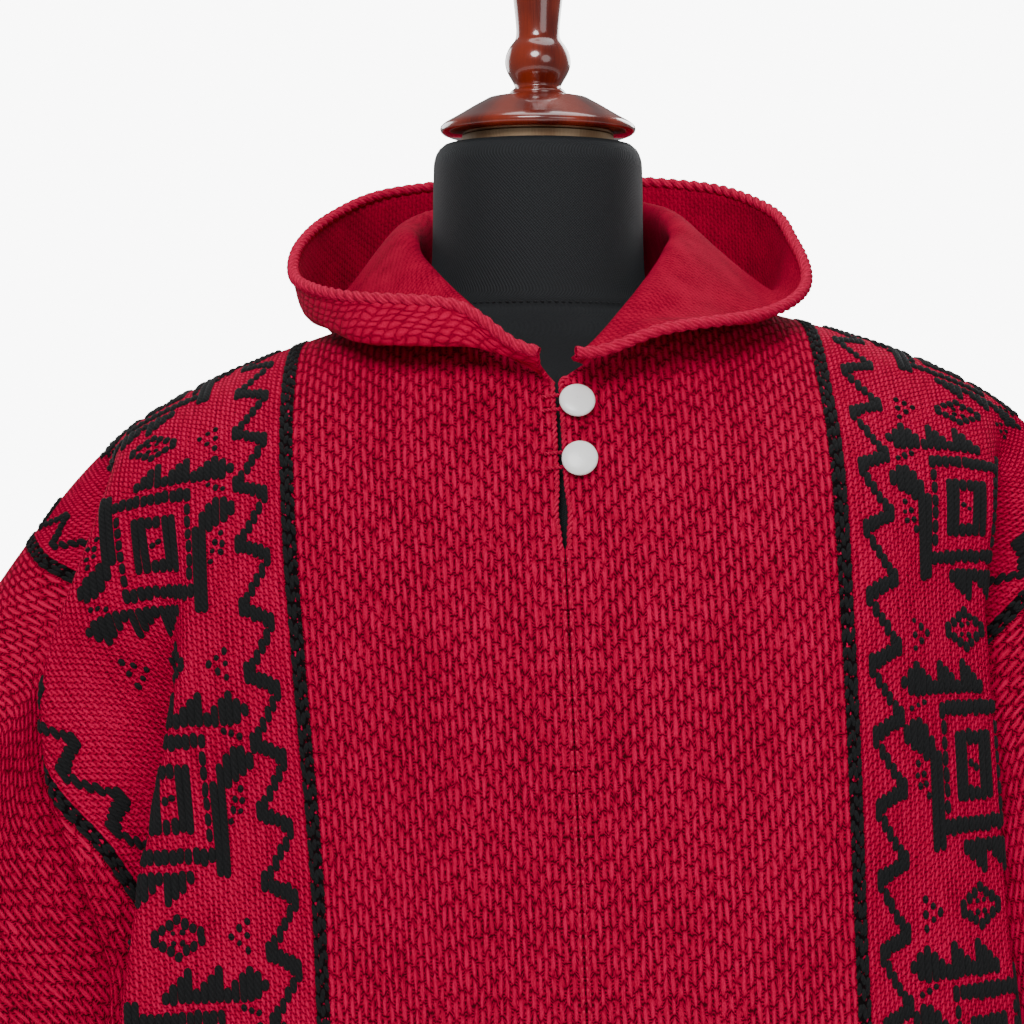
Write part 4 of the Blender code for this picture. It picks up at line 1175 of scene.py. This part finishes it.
def hood_lattice():
    """Sections from the slit's left side, round the back, to its right side."""
    stations = {side: np.linspace(start, 1.0, HOOD_STATIONS) for side, start in HOOD_START.items()}
    left = [hood_section("left", along) for along in stations["left"]]
    right = [hood_section("right", along) for along in stations["right"]]
    back = 0.5 * (left[-1] + right[-1])
    lattice = np.array(left[:-1] + [back] + right[-2::-1])
    shares = np.concatenate((stations["left"], stations["right"][-2::-1]))
    sides = np.arange(len(lattice)) < HOOD_STATIONS
    up = np.linspace(0.0, 1.0, HOOD_POINTS)[None, :]
    depth = np.zeros(lattice.shape[:2])
    for side, mine in (("left", sides), ("right", ~sides)):
        for share, height, wide, tall, deep in HOOD_WAVES[side]:
            wave = np.exp(-((shares[:, None] - share) / wide) ** 2 - ((up - height) / tall) ** 2)
            depth += deep * wave * mine[:, None] * smooth(shares * 6.0)[:, None]
    for _ in range(2):
        lattice[1:-1] = 0.25 * lattice[:-2] + 0.5 * lattice[1:-1] + 0.25 * lattice[2:]
    return lattice + depth[..., None] * lattice_normals(lattice)


def make_hood(inside, outside):
    """The hood's wall, felted above and ribbed below."""
    lattice = hood_lattice()
    normals = lattice_normals(lattice)
    near_rim = -8
    along = distances(lattice[:, near_rim])
    up_step = np.linalg.norm(np.diff(lattice, axis=1), axis=2)
    up = np.concatenate((np.zeros((len(lattice), 1)), np.cumsum(up_step, axis=1)), axis=1)
    up = up - up[:, -1:]
    weave = np.stack(np.broadcast_arrays(along[:, None], up), axis=-1)
    points, faces, coordinates = shell(lattice, lattice - CLOTH * normals, weave, False)
    count = (lattice.shape[0] - 1) * (lattice.shape[1] - 1)
    slots = np.zeros(len(faces), int)
    slots[count:] = 1
    finishes = [inside, outside]
    piece = to_object("hood_cloth", points, faces, coordinates, finishes, "hood_wool", ["hood"], slots)
    return piece, lattice, normals


def make_edging(lattice, normals, finish):
    """The twisted edging along the hood's face opening: two strands wound together."""
    rim = lattice[:, -1]
    outward = rim - lattice[:, -2]
    outward /= np.linalg.norm(outward, axis=1, keepdims=True)
    path = resampled(rim - 0.5 * CLOTH * normals[:, -1] + 0.2 * RIM_RADIUS * outward, ROPE_STEP)
    to_object("edging_rope", *joined(rope(path, *EDGING_ROPE)), [finish], "trim_wool", ["hood_edging"])


# -------- small pieces of the front

BUTTON = (
    (0.0003, -0.0002), (0.0028, 0.0000), (0.0029, 0.0020), (0.0060, 0.0026), (0.0088, 0.0028),
    (0.0098, 0.0034), (0.0100, 0.0042), (0.0095, 0.0052), (0.0082, 0.0059), (0.0060, 0.0064),
    (0.0030, 0.0067), (0.0002, 0.0068),
)


def make_button(place, finish):
    """A domed button on its shank, square to the cloth."""
    s, u = BUTTONS[place]
    drape = DRAPES["right"]
    points, faces, weave = turned_shape(cut_corners(BUTTON, 1), 40)
    foot = drape.at(s, u, 0.0006)
    turn = Vector(drape.normal(s, u)).to_track_quat("Z", "Y").to_matrix()
    points = points @ np.array(turn).T + foot
    to_object("button_" + place + "_dome", points, faces, weave, [finish], "button", ["button_" + place])


def make_loop(place, finish):
    """A thin cord loop from the left edge of the slit round the button's shank."""
    s, u = BUTTONS[place]
    leg = [(-LOOP_FOOT + (u + LOOP_FOOT) * i / 6, -LOOP_BEND) for i in range(6)]
    turns = np.radians(np.arange(-90, 91, 30))
    bend = [(u + LOOP_BEND * math.cos(turn), LOOP_BEND * math.sin(turn)) for turn in turns]
    path = []
    for across, along in leg + bend + [(x, -y) for x, y in reversed(leg)]:
        side = "right" if across >= 0 else "left"
        path.append(DRAPES[side].at(s + along, max(abs(across), 0.002), LOOP_RADIUS + 0.0006))
    strands = rope(resampled(cut_corners(path, 2), LOOP_STEP), *LOOP_ROPE)
    to_object("loop_" + place + "_cord", *joined(strands), [finish], "trim_wool", ["loop_" + place])


def make_slit(finish):
    """The slit's two corded edges and the small stitches of the centre seams."""
    shapes = []
    places = np.linspace(NECK_FRONT_S - 0.004, SLIT_END_S, 90)
    edge = np.array([neckline(s) for s in places])
    for side in ("left", "right"):
        path = DRAPES[side].at(places, edge + 0.0009, -0.0006)
        shapes += rope(resampled(path, ROPE_STEP), *SLIT_ROPE)
    to_object("slit_edges", *joined(shapes), [finish], "trim_wool")
    stitches = {"left": [], "right": []}
    short = 0.004      # they stop short of both ends
    spans = ((SLIT_END_S + short, PANEL_LENGTH - short), (-PANEL_LENGTH + short, NECK_BACK_S - short))
    for low, high in spans:
        for s in np.arange(low, high, SEAM_STEP):
            for rows in stitches.values():
                rows.append((s, SEAM_U, s + SEAM_STITCH, 0.0026, 0.0011))
    shapes = [float_shape(DRAPES[side], rows, SEAM_LIFT) for side, rows in stitches.items()]
    to_object("seam_stitches", *joined(shapes), [finish], "trim_wool")


# -------- the dress form and stand


def form_ring(height, count=96):
    """Points round the form at a height above the datum."""
    rows = np.array(FORM, float)
    half_width, front, back = interpolate(height, rows[:, 0], rows[:, 1:])
    angles = 2 * math.pi * np.arange(count + 1) / count
    reach = np.where(np.sin(angles) > 0, back, front)
    return np.stack((half_width * np.cos(angles), reach * np.sin(angles),
                     np.full(count + 1, DATUM + height)), axis=1), angles * half_width


def make_form(finish, thread):
    """The cloth-covered neck and torso, with its stitched neck seam."""
    heights = np.concatenate((np.linspace(-0.500, 0.060, 60), np.linspace(0.064, 0.212, 60)))
    rings = [form_ring(h) for h in heights]
    points = np.array([ring for ring, _ in rings])
    seam = 0.0011 * np.exp(-((heights - FORM_NECK_SEAM) / 0.0016) ** 2)
    flat = points[..., :2]
    length = np.linalg.norm(flat, axis=-1, keepdims=True)
    points[..., :2] = flat * (1.0 - seam[:, None, None] / length)
    weave = np.stack((np.array([around for _, around in rings]),
                      np.repeat(heights[:, None], points.shape[1], axis=1)), axis=-1)
    faces = lattice_faces(len(heights), points.shape[1], 0, True)
    to_object("form_cloth", *with_caps(points, faces, weave), [finish], "form_cloth", ["form_body"])
    count = 210        # twice the number of its stitches
    ring, _ = form_ring(FORM_NECK_SEAM + 0.0016, count)
    shapes = []
    for index in range(0, count, 2):
        ends = np.array((ring[index], ring[index + 1]))
        out = ends[0] * (1, 1, 0) / np.linalg.norm(ends[0][:2])
        path = ends[0] + (ends[1] - ends[0]) * np.linspace(0, 0.9, 5)[:, None]
        path = path + out * (0.0002 + 0.0003 * np.sin(np.linspace(0, math.pi, 5)))[:, None]
        shapes.append(tube_shape(path, 0.00035, 5))
    to_object("form_seam", *joined(shapes), [thread], "form_cloth")


def with_caps(points, faces, weave):
    """Close the first and last ring of a ring lattice with a point in their middle."""
    rows, columns = points.shape[:2]
    flat = points.reshape(-1, 3)
    ends = np.array((points[0, :-1].mean(axis=0), points[-1, :-1].mean(axis=0)))
    size = len(flat)
    low = [[j, j + 1, size] for j in range(columns - 1)]
    last = (rows - 1) * columns
    high = [[last + j + 1, last + j, size + 1] for j in range(columns - 1)]
    coordinates = np.concatenate((weave.reshape(-1, 2), ((0, 0), (0, 0))))
    return np.concatenate((flat, ends)), faces.tolist() + low + high, coordinates


def make_turned(name, profile, lift, finish, slot, segments=72, round_off=1):
    """A turned piece that stands for the CAD node of that name, closed at top and bottom."""
    middle = 0.0002
    rows = np.array([(middle, profile[0][1]), *profile, (middle, profile[-1][1])], float)
    rows[:, 1] += lift
    rows = np.concatenate((rows[:1], cut_corners(rows[1:-1], round_off), rows[-1:]))
    piece = to_object(name + "_turned", *turned_shape(rows, segments), [finish], slot, [name])
    piece.data.set_sharp_from_angle(angle=math.radians(50))


# -------- studio

FLOOR_RADIUS = 3.0
LIGHTS = (                    # place, size, watts
    ((-0.6, -3.0, 3.0), 1.5, 98.0),
    ((1.6, -3.0, 1.8), 2.0, 22.0),
    ((0.3, 0.2, 3.6), 2.2, 38.0),
    ((1.8, 2.8, 2.6), 2.0, 66.0),
    ((-2.0, 2.4, 2.0), 2.0, 40.0),
)
WALL_LIGHT = 0.20             # how much light the white studio wall gives, and how bright it looks
WALL_SEEN = 9.0
CAMERA_LENS = 109.1
CAMERA_SENSOR = 36.0
CAMERA_PLACE = (-0.015, -1.80, DATUM)


def make_studio():
    """A pale round floor, soft lights and the camera."""
    angles = np.linspace(0, 2 * math.pi, 97)[:-1]
    ring = [(FLOOR_RADIUS * math.cos(angle), FLOOR_RADIUS * math.sin(angle), 0.0) for angle in angles]
    mesh = bpy.data.meshes.new("studio_floor")
    mesh.from_pydata(ring, [], [list(range(len(ring)))])
    mesh.materials.append(floor_material())
    put("studio_floor", mesh)
    for index, (place, size, watts) in enumerate(LIGHTS):
        lamp = bpy.data.lights.new(f"soft_{index}", "AREA")
        lamp.shape = "DISK"
        lamp.size = size
        lamp.energy = watts
        body = put(f"soft_{index}", lamp)
        body.location = place
        aim = Vector((0.0, 0.0, DATUM - 0.1)) - Vector(place)
        body.rotation_euler = aim.to_track_quat("-Z", "Y").to_euler()
    world = bpy.data.worlds.new("studio")
    bpy.context.scene.world = world
    world.use_nodes = True
    tree = world.node_tree
    background = tree.nodes["Background"]
    background.inputs["Color"].default_value = (1.0, 1.0, 1.0, 1.0)
    seen = tree.nodes.new("ShaderNodeMapRange")
    seen.inputs["To Min"].default_value = WALL_LIGHT
    seen.inputs["To Max"].default_value = WALL_SEEN
    tree.links.new(tree.nodes.new("ShaderNodeLightPath").outputs["Is Camera Ray"], seen.inputs["Value"])
    tree.links.new(seen.outputs[0], background.inputs["Strength"])
    camera = bpy.data.cameras.new("camera")
    camera.lens = CAMERA_LENS
    camera.sensor_width = CAMERA_SENSOR
    body = put("camera", camera)
    body.location = CAMERA_PLACE
    body.rotation_euler = (math.radians(90), 0.0, 0.0)
    bpy.context.scene.camera = body


# -------- make everything


def main():
    """The materials, every piece and the studio."""
    wool = panel_material()
    black_yarn = yarn_material("black_yarn", CHARCOAL, CHARCOAL_LIGHT, (0.03, (0.6, 0.65, 0.7)))
    red_yarn = yarn_material("red_yarn", RED_YARN_DEEP, CRIMSON_HIGHLIGHT_AND_LIGHT_TONE, (0.10, (1.0, 0.08, 0.16)))
    varnished = wood_material("varnished_wood", VARNISH_DARK, VARNISH_LIGHT, 0.22, 1.0)
    bare = wood_material("bare_wood", BARE_DARK, BARE_LIGHT, 0.7, 0.0)
    panels = [make_panel(side, wool) for side in ("left", "right")]
    for side in ("left", "right"):
        make_figures(side, black_yarn)
    hood, lattice, normals = make_hood(hood_material("hood_felt", False), hood_material("hood_ribs", True))
    make_edging(lattice, normals, red_yarn)
    plastic = plastic_material()
    for place in BUTTONS:
        make_button(place, plastic)
        make_loop(place, red_yarn)
    make_slit(red_yarn)
    twill = form_material()
    thread = yarn_material("form_thread", THREAD_DARK, THREAD_LIGHT, (0.1, (1.0, 1.0, 1.0)))
    make_form(twill, thread)
    make_turned("cap_disc", CAP_DISC, DATUM, bare, "bare_wood")
    make_turned("neck_cap", NECK_CAP, DATUM, varnished, "varnished_wood")
    make_turned("finial", FINIAL, DATUM, varnished, "varnished_wood", 64, 2)
    make_turned("hip_plate", HIP_PLATE, DATUM, bare, "bare_wood")
    pole = ((POLE_RADIUS, POLE_FOOT), (POLE_RADIUS, DATUM + POLE_HEAD))
    make_turned("pole", pole, 0.0, varnished, "varnished_wood", 64, 0)
    make_turned("base", BASE, 0.0, varnished, "varnished_wood", 120, 2)
    make_studio()


main()
